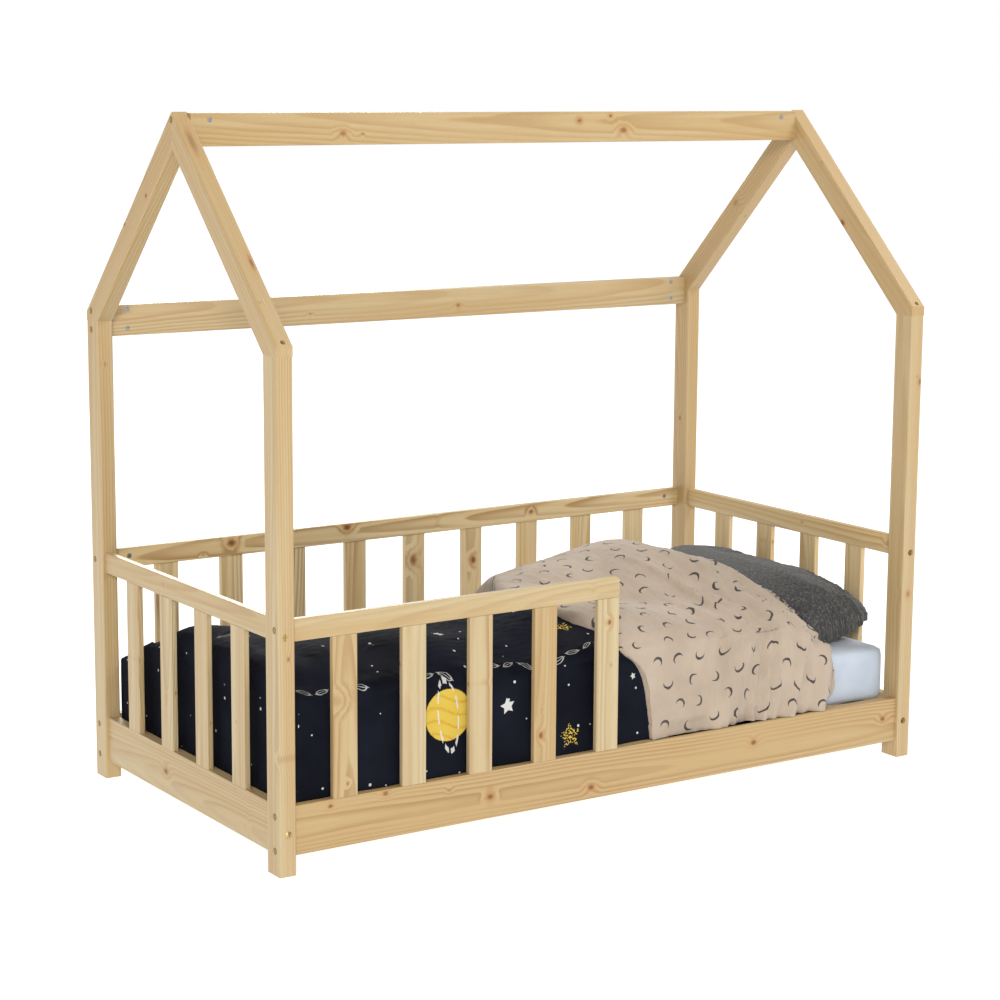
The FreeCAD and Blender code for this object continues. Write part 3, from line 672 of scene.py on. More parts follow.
@dataclass(frozen=True)
class TweedFinish:
    """Dark grey melange tweed of the pillow."""

    dark: Colour = (0.012, 0.012, 0.012)
    middle: Colour = (0.046, 0.045, 0.043)
    pale: Colour = (0.185, 0.180, 0.170)
    thread: float = 0.0021

    def material(self) -> bpy.types.Material:
        """Paints the tweed, thread by thread.

        Returns:
            The finished material.
        """
        paint = Paint("pillow_tweed")
        u, v, _ = paint.parts(paint.cloth())
        over = ((u + v) * (math.tau / self.thread)).sine()
        under = ((u - v) * (math.tau / self.thread)).sine()
        weave = (over * under) * 0.5 + 0.5
        warp = paint.noise(paint.cloth((430.0, 120.0, 1.0)), 1.0, 2.0, 1.0)
        weft = paint.noise(paint.cloth((120.0, 430.0, 1.0)), 1.0, 2.0, 6.0)
        fleck = paint.noise(paint.cloth(), 820.0, 2.0, 8.0)
        cloud = paint.noise(paint.cloth(), 22.0, 3.0, 3.0)
        mix = warp * 0.34 + weft * 0.50 + fleck * 0.45 + cloud * 0.22 - 0.31
        colour = paint.mixed(mix.step(0.28, 0.56), self.dark, self.middle)
        slubs = (warp.at_least(weft) * 0.6 + fleck * 0.4).step(0.53, 0.66)
        colour = paint.mixed(slubs * 0.85, colour, self.pale)
        paint.bump(weave * 0.6 + fleck * 0.6, 0.0007, 0.7)
        return paint.finish(colour, weave * 0.06 + 0.88, Sheen_Weight=0.15, Sheen_Roughness=0.6)


@dataclass(frozen=True)
class CrescentFinish:
    """Sand-coloured cotton printed with small dark crescents."""

    ground: Colour = (0.462, 0.374, 0.290)
    shade: Colour = (0.385, 0.303, 0.228)
    ink: Colour = (0.026, 0.023, 0.026)
    cell: float = 0.061
    moon: float = 0.0108

    def material(self) -> bpy.types.Material:
        """Paints the crescents, one in each cell of a brick pattern and each turned its own way.

        Returns:
            The finished material.
        """
        paint = Paint("crescent_cotton")
        u, v, _ = paint.parts(paint.cloth())
        row = (v / (self.cell * 0.72)).floor()
        shifted = u / self.cell + (row * 0.5).fraction() + (row * 12.9898).sine() * 0.12
        column = shifted.floor()
        luck = paint.node("ShaderNodeTexWhiteNoise", {"noise_dimensions": "3D"},
                          {"Vector": paint.joined(column, row, 3.0)})
        draw_1, draw_2, draw_3 = paint.parts(luck.outputs["Color"])
        local_u = (shifted - column - 0.5 + (draw_1 - 0.5) * 0.34) * self.cell
        local_v = (v / (self.cell * 0.72) - row - 0.5 + (draw_2 - 0.5) * 0.20) * (self.cell * 0.72)
        angle = draw_3 * math.tau
        cos, sin = (angle + math.pi / 2).sine(), angle.sine()
        along, aside = local_u * cos + local_v * sin, local_v * cos - local_u * sin
        rough = paint.noise(paint.cloth(), 520.0, 2.0) - 0.5
        full = (along * along + aside * aside).power(0.5) + rough * 0.0022
        bite_u = along - self.moon * 0.36
        bite = (bite_u * bite_u + aside * aside).power(0.5) + rough * 0.0030
        ink = full.step(self.moon + 0.0004, self.moon - 0.0004) * bite.step(
            self.moon * 0.88 - 0.0004, self.moon * 0.88 + 0.0004)
        ink = ink * paint.noise(paint.cloth(), 900.0, 1.0, 4.0).step(0.26, 0.42)
        weave = self.weave(paint, u, v)
        cloud = paint.noise(paint.cloth(), 9.0, 3.0)
        colour = paint.mixed(cloud.step(0.3, 0.75), self.ground, self.shade)
        colour = paint.mixed(ink * 0.97, colour, self.ink)
        crush = paint.noise(paint.cloth((64.0, 9.0, 1.0)), 1.0, 4.0, 2.0)
        paint.bump(weave * 0.02 + crush, 0.0060, 0.75)
        return paint.finish(colour, weave * 0.05 + 0.86, Sheen_Weight=0.12, Sheen_Roughness=0.5)

    @staticmethod
    def weave(paint: Paint, u: Value, v: Value) -> Value:
        """Plain weave of the cotton, from 0 to 1."""
        thread = 0.0009
        return ((u * (math.tau / thread)).sine() * (v * (math.tau / thread)).sine()) * 0.5 + 0.5


@dataclass(frozen=True)
class Disc:
    """A round mark on the printed cotton, at a place on the flat cloth."""

    u: float
    v: float
    radius: float
    yellow: bool = False


@dataclass(frozen=True)
class Star:
    """A five-pointed star on the printed cotton."""

    u: float
    v: float
    radius: float
    turn: float = 0.0
    yellow: bool = False
    sketchy: bool = False


@dataclass(frozen=True)
class NightFinish:
    """Navy cotton printed with planets, stars and dots."""

    ground: Colour = (0.0085, 0.0100, 0.0175)
    shade: Colour = (0.0045, 0.0052, 0.0090)
    yellow: Colour = (0.60, 0.430, 0.070)
    orange: Colour = (0.52, 0.290, 0.035)
    white: Colour = (0.60, 0.60, 0.57)
    planets: tuple[Disc, ...] = (Disc(-0.379, -0.424, 0.050, True), Disc(-0.56, 0.20, 0.045, True),
                                 Disc(-0.20, 0.24, 0.040, True))
    stars: tuple[Star, ...] = (Star(-0.248, -0.425, 0.0165, 0.15), Star(0.042, -0.404, 0.0075, 0.4),
                               Star(-0.107, -0.503, 0.028, 0.1, True, True),
                               Star(-0.045, -0.250, 0.022, 0.5, True, True),
                               Star(-0.46, -0.10, 0.018, 0.3), Star(-0.30, -0.20, 0.014, 0.7),
                               Star(-0.42, 0.17, 0.024, 0.2, True, True), Star(-0.10, -0.16, 0.012, 0.5),
                               Star(-0.62, -0.20, 0.012, 0.9), Star(-0.60, -0.47, 0.009, 0.1))

    def material(self) -> bpy.types.Material:
        """Paints the night print on the flat cloth.

        Returns:
            The finished material.
        """
        paint = Paint("night_cotton")
        u, v, _ = paint.parts(paint.cloth())
        rough = paint.noise(paint.cloth(), 420.0, 2.0) - 0.5
        cloud = paint.noise(paint.cloth(), 8.0, 3.0)
        colour = paint.mixed(cloud.step(0.3, 0.7), self.ground, self.shade)
        colour = paint.mixed(self.dots(paint, u, v), colour, self.white)
        colour = paint.mixed(self.sprigs(paint, u, v, rough), colour, self.white)
        for star in self.stars:
            mark = self.star(u, v, star, rough)
            if star.sketchy:
                mark = mark * paint.noise(paint.cloth(), 230.0, 2.0, 7.0).step(0.51, 0.55)
            colour = paint.mixed(mark * 0.94, colour, self.yellow if star.yellow else self.white)
        for planet in self.planets:
            colour = self.planet(paint, u, v, planet, rough, colour)
        weave = CrescentFinish.weave(paint, u, v)
        crush = paint.noise(paint.cloth((26.0, 14.0, 1.0)), 1.0, 3.0, 2.0)
        paint.bump(weave * 0.04 + crush, 0.0020, 0.5)
        return paint.finish(colour, weave * 0.06 + 0.72, Specular_IOR_Level=0.05)

    @staticmethod
    def star(u: Value, v: Value, star: Star, rough: Value) -> Value:
        """One five-pointed star.

        Args:
            u: the flat cloth's first coordinate.
            v: its second coordinate.
            star: where the star is, how large and how turned.
            rough: unevenness of the ink's edge.

        Returns:
            1 inside the star and 0 outside it.
        """
        du, dv = u - star.u, v - star.v
        angle = u.paint.maths("ARCTAN2", du, dv) + star.turn
        fold = abs((angle / (math.tau / 5) + 0.5).fraction() - 0.5) * (math.tau / 5)
        span = (du * du + dv * dv).power(0.5) + rough * 0.002
        reach = span * ((fold + math.pi / 2).sine() + fold.sine() * 1.90)
        return reach.step(star.radius, star.radius * 0.93)

    def planet(self, paint: Paint, u: Value, v: Value, disc: Disc, rough: Value,
               colour: bpy.types.NodeSocket) -> bpy.types.NodeSocket:
        """Lays one hand-drawn planet and its dashed ring over a colour.

        Args:
            paint: the finish's tree.
            u: the flat cloth's first coordinate.
            v: its second coordinate.
            disc: where the planet is and how large.
            rough: unevenness of the ink's edge.
            colour: what it is laid over.

        Returns:
            The colour with the planet on it.
        """
        du, dv = (u - disc.u) / disc.radius, (v - disc.v) / disc.radius
        span = (du * du + dv * dv).power(0.5) + rough * 0.10
        body = span.step(1.0, 0.96)
        waves = ((dv * 6.5 + (du * 2.6).sine() * 1.3 + rough * 2.5) * 2.0).sine().step(0.72, 0.92)
        colour = paint.mixed(body, colour, self.yellow)
        colour = paint.mixed(body * waves * 0.75, colour, self.orange)
        tilt_u, tilt_v = du * 0.99 + dv * 0.10, dv * 0.99 - du * 0.10
        wide = tilt_u / 0.42
        long = tilt_v / 1.38
        ring = ((wide * wide + long * long).power(0.5) - 1.0 + rough * 0.08)
        band = abs(ring).step(0.085, 0.055)
        dash = (paint.maths("ARCTAN2", wide, long) * 11.0).sine().step(-0.60, -0.35)
        return paint.mixed(band * dash * 0.85, colour, self.white)

    @staticmethod
    def dots(paint: Paint, u: Value, v: Value) -> Value:
        """Small white dots strewn over the cloth.

        Args:
            paint: the finish's tree.
            u: the flat cloth's first coordinate.
            v: its second coordinate.

        Returns:
            Up to 0.9 inside a dot and 0 outside.
        """
        node = paint.node("ShaderNodeTexVoronoi", {"voronoi_dimensions": "2D"},
                          {"Vector": paint.joined(u, v), "Scale": 13.0, "Randomness": 1.0})
        size = paint.parts(node.outputs["Color"])[0] * 0.0022 + 0.0008
        return (Value(paint, node.outputs["Distance"]) / 13.0 - size).step(0.0003, -0.0003) * 0.9

    @staticmethod
    def sprigs(paint: Paint, u: Value, v: Value, rough: Value) -> Value:
        """Rows of small pointed leaves in loose bands along the bed.

        Args:
            paint: the finish's tree.
            u: the flat cloth's first coordinate.
            v: its second coordinate.
            rough: unevenness of the ink's edge.

        Returns:
            Up to 0.62 on a leaf's outline and 0 elsewhere.
        """
        cell, band = 0.036, 0.30
        across = ((v / band + 1.65).fraction() - 0.5) * band + (u * 31.0).sine() * 0.006 + rough * 0.0012
        column = (u / cell).floor()
        along = ((u / cell).fraction() - 0.5) * cell
        lean = (column * 2.4).sine() * 0.55
        length, width = along + across * lean, across - along * lean
        outline = ((length / 0.0135).power(2.0) + (width / 0.0046).power(2.0)).power(0.5)
        line = abs(outline - 1.0).step(0.17, 0.11)
        vein = abs(width).step(0.0007, 0.0004) * abs(length).step(0.0190, 0.0180)
        clumps = paint.noise(paint.joined(column * 0.37, (v / band).floor()), 1.0, 0.0, 5.0).step(0.46, 0.50)
        return line.at_least(vein) * clumps * 0.62


# --------------------------------------------------------------------------- soft goods
def spline(table: Table, at: np.ndarray) -> np.ndarray:
    """Smooth curve through a table of points.

    Args:
        table: pairs of place and value, in rising order of place.
        at: places where the curve is wanted.

    Returns:
        The curve's values there.
    """
    places, values = np.array(table).T
    slopes = np.gradient(values, places)
    at = np.clip(at, places[0], places[-1])
    index = np.clip(np.searchsorted(places, at) - 1, 0, len(places) - 2)
    gap = places[index + 1] - places[index]
    t = (at - places[index]) / gap
    return ((2 * t**3 - 3 * t**2 + 1) * values[index] + (t**3 - 2 * t**2 + t) * gap * slopes[index]
            + (3 * t**2 - 2 * t**3) * values[index + 1] + (t**3 - t**2) * gap * slopes[index + 1])


def soft_step(at: np.ndarray, low: float, high: float) -> np.ndarray:
    """Smooth step from 0 at `low` to 1 at `high`."""
    t = np.clip((at - low) / (high - low), 0, 1)
    return t * t * (3 - 2 * t)


def lower_of(a: np.ndarray, b: np.ndarray, round_by: float) -> np.ndarray:
    """The lower of two heights, with their join rounded off."""
    blend = np.clip(0.5 + 0.5 * (b - a) / round_by, 0, 1)
    return b * (1 - blend) + a * blend - round_by * blend * (1 - blend)


def crumple(points: np.ndarray, stretch: Triple, seed: float,
            ridged: bool = False) -> np.ndarray:
    """Uneven creases at many points.

    Args:
        points: their places, one row each.
        stretch: how many creases a metre there are along each axis.
        seed: picks the pattern.
        ridged: sharp ridges in place of soft waves.

    Returns:
        A height from about -1 to 1 at each point.
    """
    scaled = points * np.array(stretch) + seed
    found = np.array([noise.noise(Vector(p)) for p in scaled.tolist()])
    return 1 - np.minimum(4.6 * np.abs(found), 2.0) if ridged else found * 1.6


@dataclass
class SoftPiece:
    """A padded piece, shaped as a slab between an upper and a lower surface."""

    name: str
    body: str
    voxel: float = 0.006
    object: bpy.types.Object | None = None
    frames: int = 14
    cloth_mass: float = 0.25
    stretch: float = 12.0
    shear: float = 4.0
    bend: float = 0.8

    def slab(self, x: np.ndarray, y: np.ndarray, top: np.ndarray, bottom: np.ndarray) -> None:
        """Makes a closed mesh between two surfaces over one grid.

        Args:
            x: grid of places along the bed.
            y: grid of places across the bed.
            top: height of the upper surface over the grid.
            bottom: height of the lower surface over the grid.
        """
        rows, columns = x.shape
        upper = np.stack((x, y, top), -1).reshape(-1, 3)
        lower = np.stack((x, y, np.minimum(bottom, top - 0.004)), -1).reshape(-1, 3)
        index = np.arange(rows * columns).reshape(rows, columns)
        quads = np.stack((index[:-1, :-1], index[1:, :-1], index[1:, 1:], index[:-1, 1:]), -1).reshape(-1, 4)
        border = np.concatenate((index[:, 0], index[-1, 1:], index[-2::-1, -1], index[0, -2:0:-1]))
        after = np.roll(border, -1)
        count = rows * columns
        walls = np.stack((after, border, border + count, after + count), -1)
        faces = np.concatenate((quads, quads[:, ::-1] + count, walls))
        mesh = bpy.data.meshes.new(self.name)
        mesh.from_pydata(np.concatenate((upper, lower)).tolist(), [], faces.tolist())
        self.object = bpy.data.objects.new(self.name, mesh)
        bpy.context.scene.collection.objects.link(self.object)
        self.outward()

    def pick(self) -> None:
        """Makes this the only selected and the active object."""
        nothing_selected()
        self.object.select_set(True)
        bpy.context.view_layer.objects.active = self.object

    def outward(self) -> None:
        """Turns all faces outwards."""
        self.pick()
        bpy.ops.object.mode_set(mode="EDIT")
        bpy.ops.mesh.select_all(action="SELECT")
        bpy.ops.mesh.normals_make_consistent(inside=False)
        bpy.ops.object.mode_set(mode="OBJECT")

    def apply(self, kind: str, **settings: float | str | bool) -> None:
        """Adds one modifier and applies it.

        Args:
            kind: the modifier's type.
            settings: its properties.
        """
        modifier = self.object.modifiers.new(kind.title(), kind)
        for key, setting in settings.items():
            setattr(modifier, key, setting)
        self.pick()
        bpy.ops.object.modifier_apply(modifier=modifier.name)

    def remesh(self, smooth: int) -> None:
        """Makes even small faces, then softens the edges by `smooth` passes."""
        self.apply("REMESH", mode="VOXEL", voxel_size=self.voxel, adaptivity=0.0)
        self.apply("SMOOTH", factor=0.5, iterations=smooth)

    def points(self) -> np.ndarray:
        """The mesh's points, one row each.

        Returns:
            An array with one row of x, y and z for each point.
        """
        found = np.empty(len(self.object.data.vertices) * 3)
        self.object.data.vertices.foreach_get("co", found)
        return found.reshape(-1, 3)

    def normals(self) -> np.ndarray:
        """The points' outward directions, one row each.

        Returns:
            An array with one row of x, y and z for each point.
        """
        found = np.empty(len(self.object.data.vertices) * 3)
        self.object.data.vertices.foreach_get("normal", found)
        return found.reshape(-1, 3)

    def move_to(self, points: np.ndarray) -> None:
        """Puts the mesh's points at new places."""
        self.object.data.vertices.foreach_set("co", points.ravel())
        self.object.data.update()

    def inflate(self, pressure: float, cap: float, slack: float, held: np.ndarray) -> None:
        """Blows the piece up as sewn cloth, and lets its points move only a little.

        Args:
            pressure: air pressure inside it.
            cap: how far a point may move, in metres.
            slack: how much longer the cloth is than the shape, as a share.
            held: how firmly each point is held, from 0 to 1.
        """
        before = self.points()
        group = self.object.vertex_groups.new(name="held")
        levels = 4
        for level in range(1, levels + 1):
            chosen = np.nonzero((held > (level - 0.5) / levels) & (held <= (level + 0.5) / levels))[0]
            group.add(chosen.tolist(), level / levels, "REPLACE")
        cloth = self.object.modifiers.new("Cloth", "CLOTH")
        settings = cloth.settings
        settings.quality, settings.mass = 6, self.cloth_mass
        settings.tension_stiffness = settings.compression_stiffness = self.stretch
        settings.shear_stiffness, settings.bending_stiffness = self.shear, self.bend
        settings.use_pressure, settings.uniform_pressure_force = True, pressure
        settings.shrink_min = -slack
        settings.effector_weights.gravity = 0.0
        settings.vertex_group_mass = "held"
        settings.pin_stiffness = 1.0
        cloth.point_cache.frame_start, cloth.point_cache.frame_end = 1, self.frames
        for number in range(1, self.frames + 1):
            bpy.context.scene.frame_set(number)
        self.pick()
        bpy.ops.object.modifier_apply(modifier="Cloth")
        bpy.context.scene.frame_set(1)
        moved = self.points() - before
        length = np.linalg.norm(moved, axis=1, keepdims=True)
        LOG.info("%s: cloth moved up to %.1f mm", self.name, 1000 * length.max())
        self.move_to(before + moved * np.minimum(1, cap / np.maximum(length, 1e-9)))
        self.apply("SMOOTH", factor=0.5, iterations=3)

    def wrap(self, u: np.ndarray, v: np.ndarray) -> None:
        """Gives the mesh its flat cloth coordinates, in metres.

        Args:
            u: each point's place along the flat cloth.
            v: its place across the flat cloth.
        """
        mesh = self.object.data
        layer = mesh.uv_layers.new(name="cloth")
        corners = np.empty(len(mesh.loops), dtype=np.int64)
        mesh.loops.foreach_get("vertex_index", corners)
        layer.data.foreach_set("uv", np.stack((u[corners], v[corners]), -1).astype(np.float32).ravel())

    def finish(self, fill: float, node: str, materials: list[bpy.types.Material], slot: str) -> None:
        """Args:
            fill: how full it is, from 0 to 1; not used.
            node: the CAD node that it stands for.
            materials: its materials, the main one first.
            slot: a name for its finish; not used.
        """
        for material in materials:
            self.object.data.materials.append(material)
        self.pick()
        bpy.ops.object.shade_smooth()
        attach(self.object, self.body)
        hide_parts(node)


@dataclass
class Mattress:
    """Foam mattress in a pale blue fitted cover."""

    corner: float = 0.028
    arris: float = 0.010
    smooth: int = 3

    def build(self) -> str:
        """Models the mattress and its cover.

        Returns:
            The piece's name.
        """
        low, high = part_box("mattress")
        size = high - low
        nothing_selected()
        bpy.ops.mesh.primitive_cube_add(size=1.0, location=(low + high) / 2, scale=size)
        piece = SoftPiece("mattress_pad", "mattress", 0.0085, bpy.context.object)
        piece.object.name = piece.name
        bpy.ops.object.transform_apply(location=True, rotation=True, scale=True)
        self.round(piece, self.corner, 10, upright=True)
        self.round(piece, self.arris, 4, upright=False)
        piece.remesh(self.smooth)
        points, normals = piece.points(), piece.normals()
        near_corner = (soft_step(np.abs(points[:, 0] - (low.x + high.x) / 2), size.x / 2 - 0.13, size.x / 2)
                       * soft_step(np.abs(points[:, 1]), size.y / 2 - 0.13, size.y / 2))
        waves = crumple(points, (7, 7, 5), 1.0) * 0.0011
        gathers = crumple(points, (60, 60, 9), 5.0) * 0.0016 * near_corner
        points = points + normals * ((waves + gathers) - 0.0014)[:, None]
        sides = 1 - np.abs(normals[:, 2])
        level = (points[:, 2] - low.z) / size.z
        seam = np.exp(-((level - 0.10) / 0.020) ** 2) + np.exp(-((level - 0.90) / 0.020) ** 2)
        points = points - normals * (sides * seam * 0.0016)[:, None]
        points = np.clip(points, np.array(low), np.array(high))
        piece.move_to(points)
        piece.finish(0.95, "mattress", [JerseyFinish().material()], "mattress_cover")
        return piece.name

    @staticmethod
    def round(piece: SoftPiece, radius: float, steps: int, upright: bool) -> None:
        """Rounds the mattress's upright or its level edges.

        Args:
            piece: the mattress.
            radius: how round.
            steps: how many faces round each edge.
            upright: the edges that stand up, not those that lie level.
        """
        piece.pick()
        mesh = piece.object.data
        levels = [v.co.z for v in mesh.vertices]
        bpy.ops.object.mode_set(mode="EDIT")
        bpy.ops.mesh.select_mode(type="EDGE")
        bpy.ops.mesh.select_all(action="DESELECT")
        bpy.ops.object.mode_set(mode="OBJECT")
        middle = (min(levels) + max(levels)) / 2
        for edge in mesh.edges:
            a, b = (mesh.vertices[i].co for i in edge.vertices)
            stands = abs(a.z - b.z) > 0.01
            faces_apart = (a.z - middle) * (b.z - middle) > 0
            edge.select = stands if upright else (not stands and faces_apart)
        bpy.ops.object.mode_set(mode="EDIT")
        bpy.ops.mesh.bevel(offset=radius, segments=steps, profile=0.5, affect="EDGES")
        bpy.ops.object.mode_set(mode="OBJECT")


@dataclass
class Pillow:
    """Filled tweed pillow, tilted up against the head end."""

    half_depth: float = 0.200
    half_width: float = 0.300
    above: float = 0.092
    below: float = 0.040
    tilt: float = 12.0
    clear: float = 0.0004
    sag: float = 0.044
    stations: int = 90

    def middle(self) -> Vector:
        """Middle of the pillow's seam.

        Returns:
            Its place on the bed.
        """
        head, mattress_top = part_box("pillow")[1].x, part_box("mattress")[1].z
        tilt = math.radians(self.tilt)
        belly = (self.half_depth**2 + self.below**2) / (2 * self.below)
        drop = belly - (belly - self.below) * math.cos(tilt)
        return Vector((head - self.half_depth * math.cos(tilt), 0.0, mattress_top + self.clear + drop))

    def profile(self, u: np.ndarray, v: np.ndarray) -> np.ndarray:
        """How thick the filling is at a place on the pillow, from 0 to 1.

        Args:
            u: place along the bed, from -1 to 1.
            v: place across the bed, from -1 to 1.

        Returns:
            The thickness, as a share of the fullest.
        """
        edge_u, edge_v = np.clip(1 - np.abs(u) ** 2.2, 0, 1), np.clip(1 - np.abs(v) ** 3.6, 0, 1)
        pressed = 0.70 + 0.30 * soft_step(u, -0.3, 0.6)
        return edge_u**0.60 * edge_v**0.34 * pressed

    def top(self, x: np.ndarray, y: np.ndarray) -> np.ndarray:
        """Height of the tilted pillow's upper side, or far below outside it.

        Args:
            x: places along the bed.
            y: places across the bed.

        Returns:
            The heights.
        """
        middle, tilt = self.middle(), math.radians(self.tilt)
        u = (x - middle.x) / math.cos(tilt) / self.half_depth
        v = y / self.half_width
        lift = self.above * self.profile(np.clip(u + 0.08, -1, 1), np.clip(v, -1, 1)) / math.cos(tilt)
        lift = lift - self.sag * np.abs(np.clip(v, -1, 1)) ** 3
        height = middle.z + u * self.half_depth * math.sin(tilt) + lift
        return np.where((np.abs(u) < 1.03) & (np.abs(v) < 1.03), height, 0.0)

    def build(self) -> str:
        """Models the sewn case, blows it up and lays it down.

        Returns:
            The piece's name.
        """
        places = np.sin(np.linspace(-1, 1, self.stations) * math.pi / 2 * 0.90) / math.sin(math.pi / 2 * 0.90)
        u, v = np.meshgrid(places, np.sin(np.linspace(-1, 1, self.stations * 3 // 2) * 1.36) / math.sin(1.36),
                           indexing="ij")
        thick = self.profile(u, v)
        x = self.half_depth * u * (1 - 0.050 * np.abs(v) ** 7 - 0.015 * (1 - v**2))
        y = self.half_width * v * (1 - 0.035 * np.abs(u) ** 7 - 0.015 * (1 - u**2))
        piece = SoftPiece("pillow_case", "pillow", 0.006)
        piece.slab(x, y, self.above * thick + 0.003, -self.below * thick - 0.003)
        piece.remesh(2)
        points = piece.points()
        rim = np.maximum(np.abs(points[:, 0]) / self.half_depth, np.abs(points[:, 1]) / self.half_width)
        piece.inflate(3.0, 0.009, 0.020, soft_step(rim, 0.92, 0.99) * 0.9)
        points, normals = piece.points(), piece.normals()
        around = np.arctan2(points[:, 1] / self.half_width, points[:, 0] / self.half_depth)
        spread = np.stack((around * 3.0, rim, points[:, 2]), -1)
        puckers = crumple(spread, (9.0, 2.2, 3.0), 2.0) * soft_step(rim, 0.62, 0.93) * 0.0032
        dents = crumple(points, (6.5, 5.0, 3.0), 7.0) * 0.0065 * (1 - soft_step(rim, 0.8, 1.0))
        points = points + normals * (puckers + dents)[:, None]
        seam = np.exp(-(points[:, 2] / 0.0045) ** 2) * soft_step(rim, 0.90, 0.97)
        outward = points.copy()
        outward[:, 2] = 0
        outward /= np.maximum(np.linalg.norm(outward, axis=1, keepdims=True), 1e-6)
        points = points - outward * (seam * 0.0035)[:, None]
        flat = points.copy()
        points[:, 2] -= self.sag * np.abs(np.clip(points[:, 1] / self.half_width, -1, 1)) ** 3
        points = self.lay(points)
        piece.move_to(points)
        piece.wrap(flat[:, 0], flat[:, 1])
        piece.finish(0.6, "pillow", [TweedFinish().material()], "pillow_cover")
        return piece.name

    def lay(self, points: np.ndarray) -> np.ndarray:
        """Tilts the level pillow and sets it down on the mattress.

        Args:
            points: the level pillow's points, about the middle of its seam.

        Returns:
            The points on the bed.
        """
        middle, tilt = self.middle(), math.radians(self.tilt)
        low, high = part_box("pillow")
        laid = points.copy()
        laid[:, 0] = middle.x + points[:, 0] * math.cos(tilt) - points[:, 2] * math.sin(tilt)
        laid[:, 2] = middle.z + points[:, 0] * math.sin(tilt) + points[:, 2] * math.cos(tilt)
        laid[:, 0] = np.minimum(laid[:, 0], high.x)
        laid[:, 2] = np.maximum(laid[:, 2], low.z + 0.0006)
        return laid


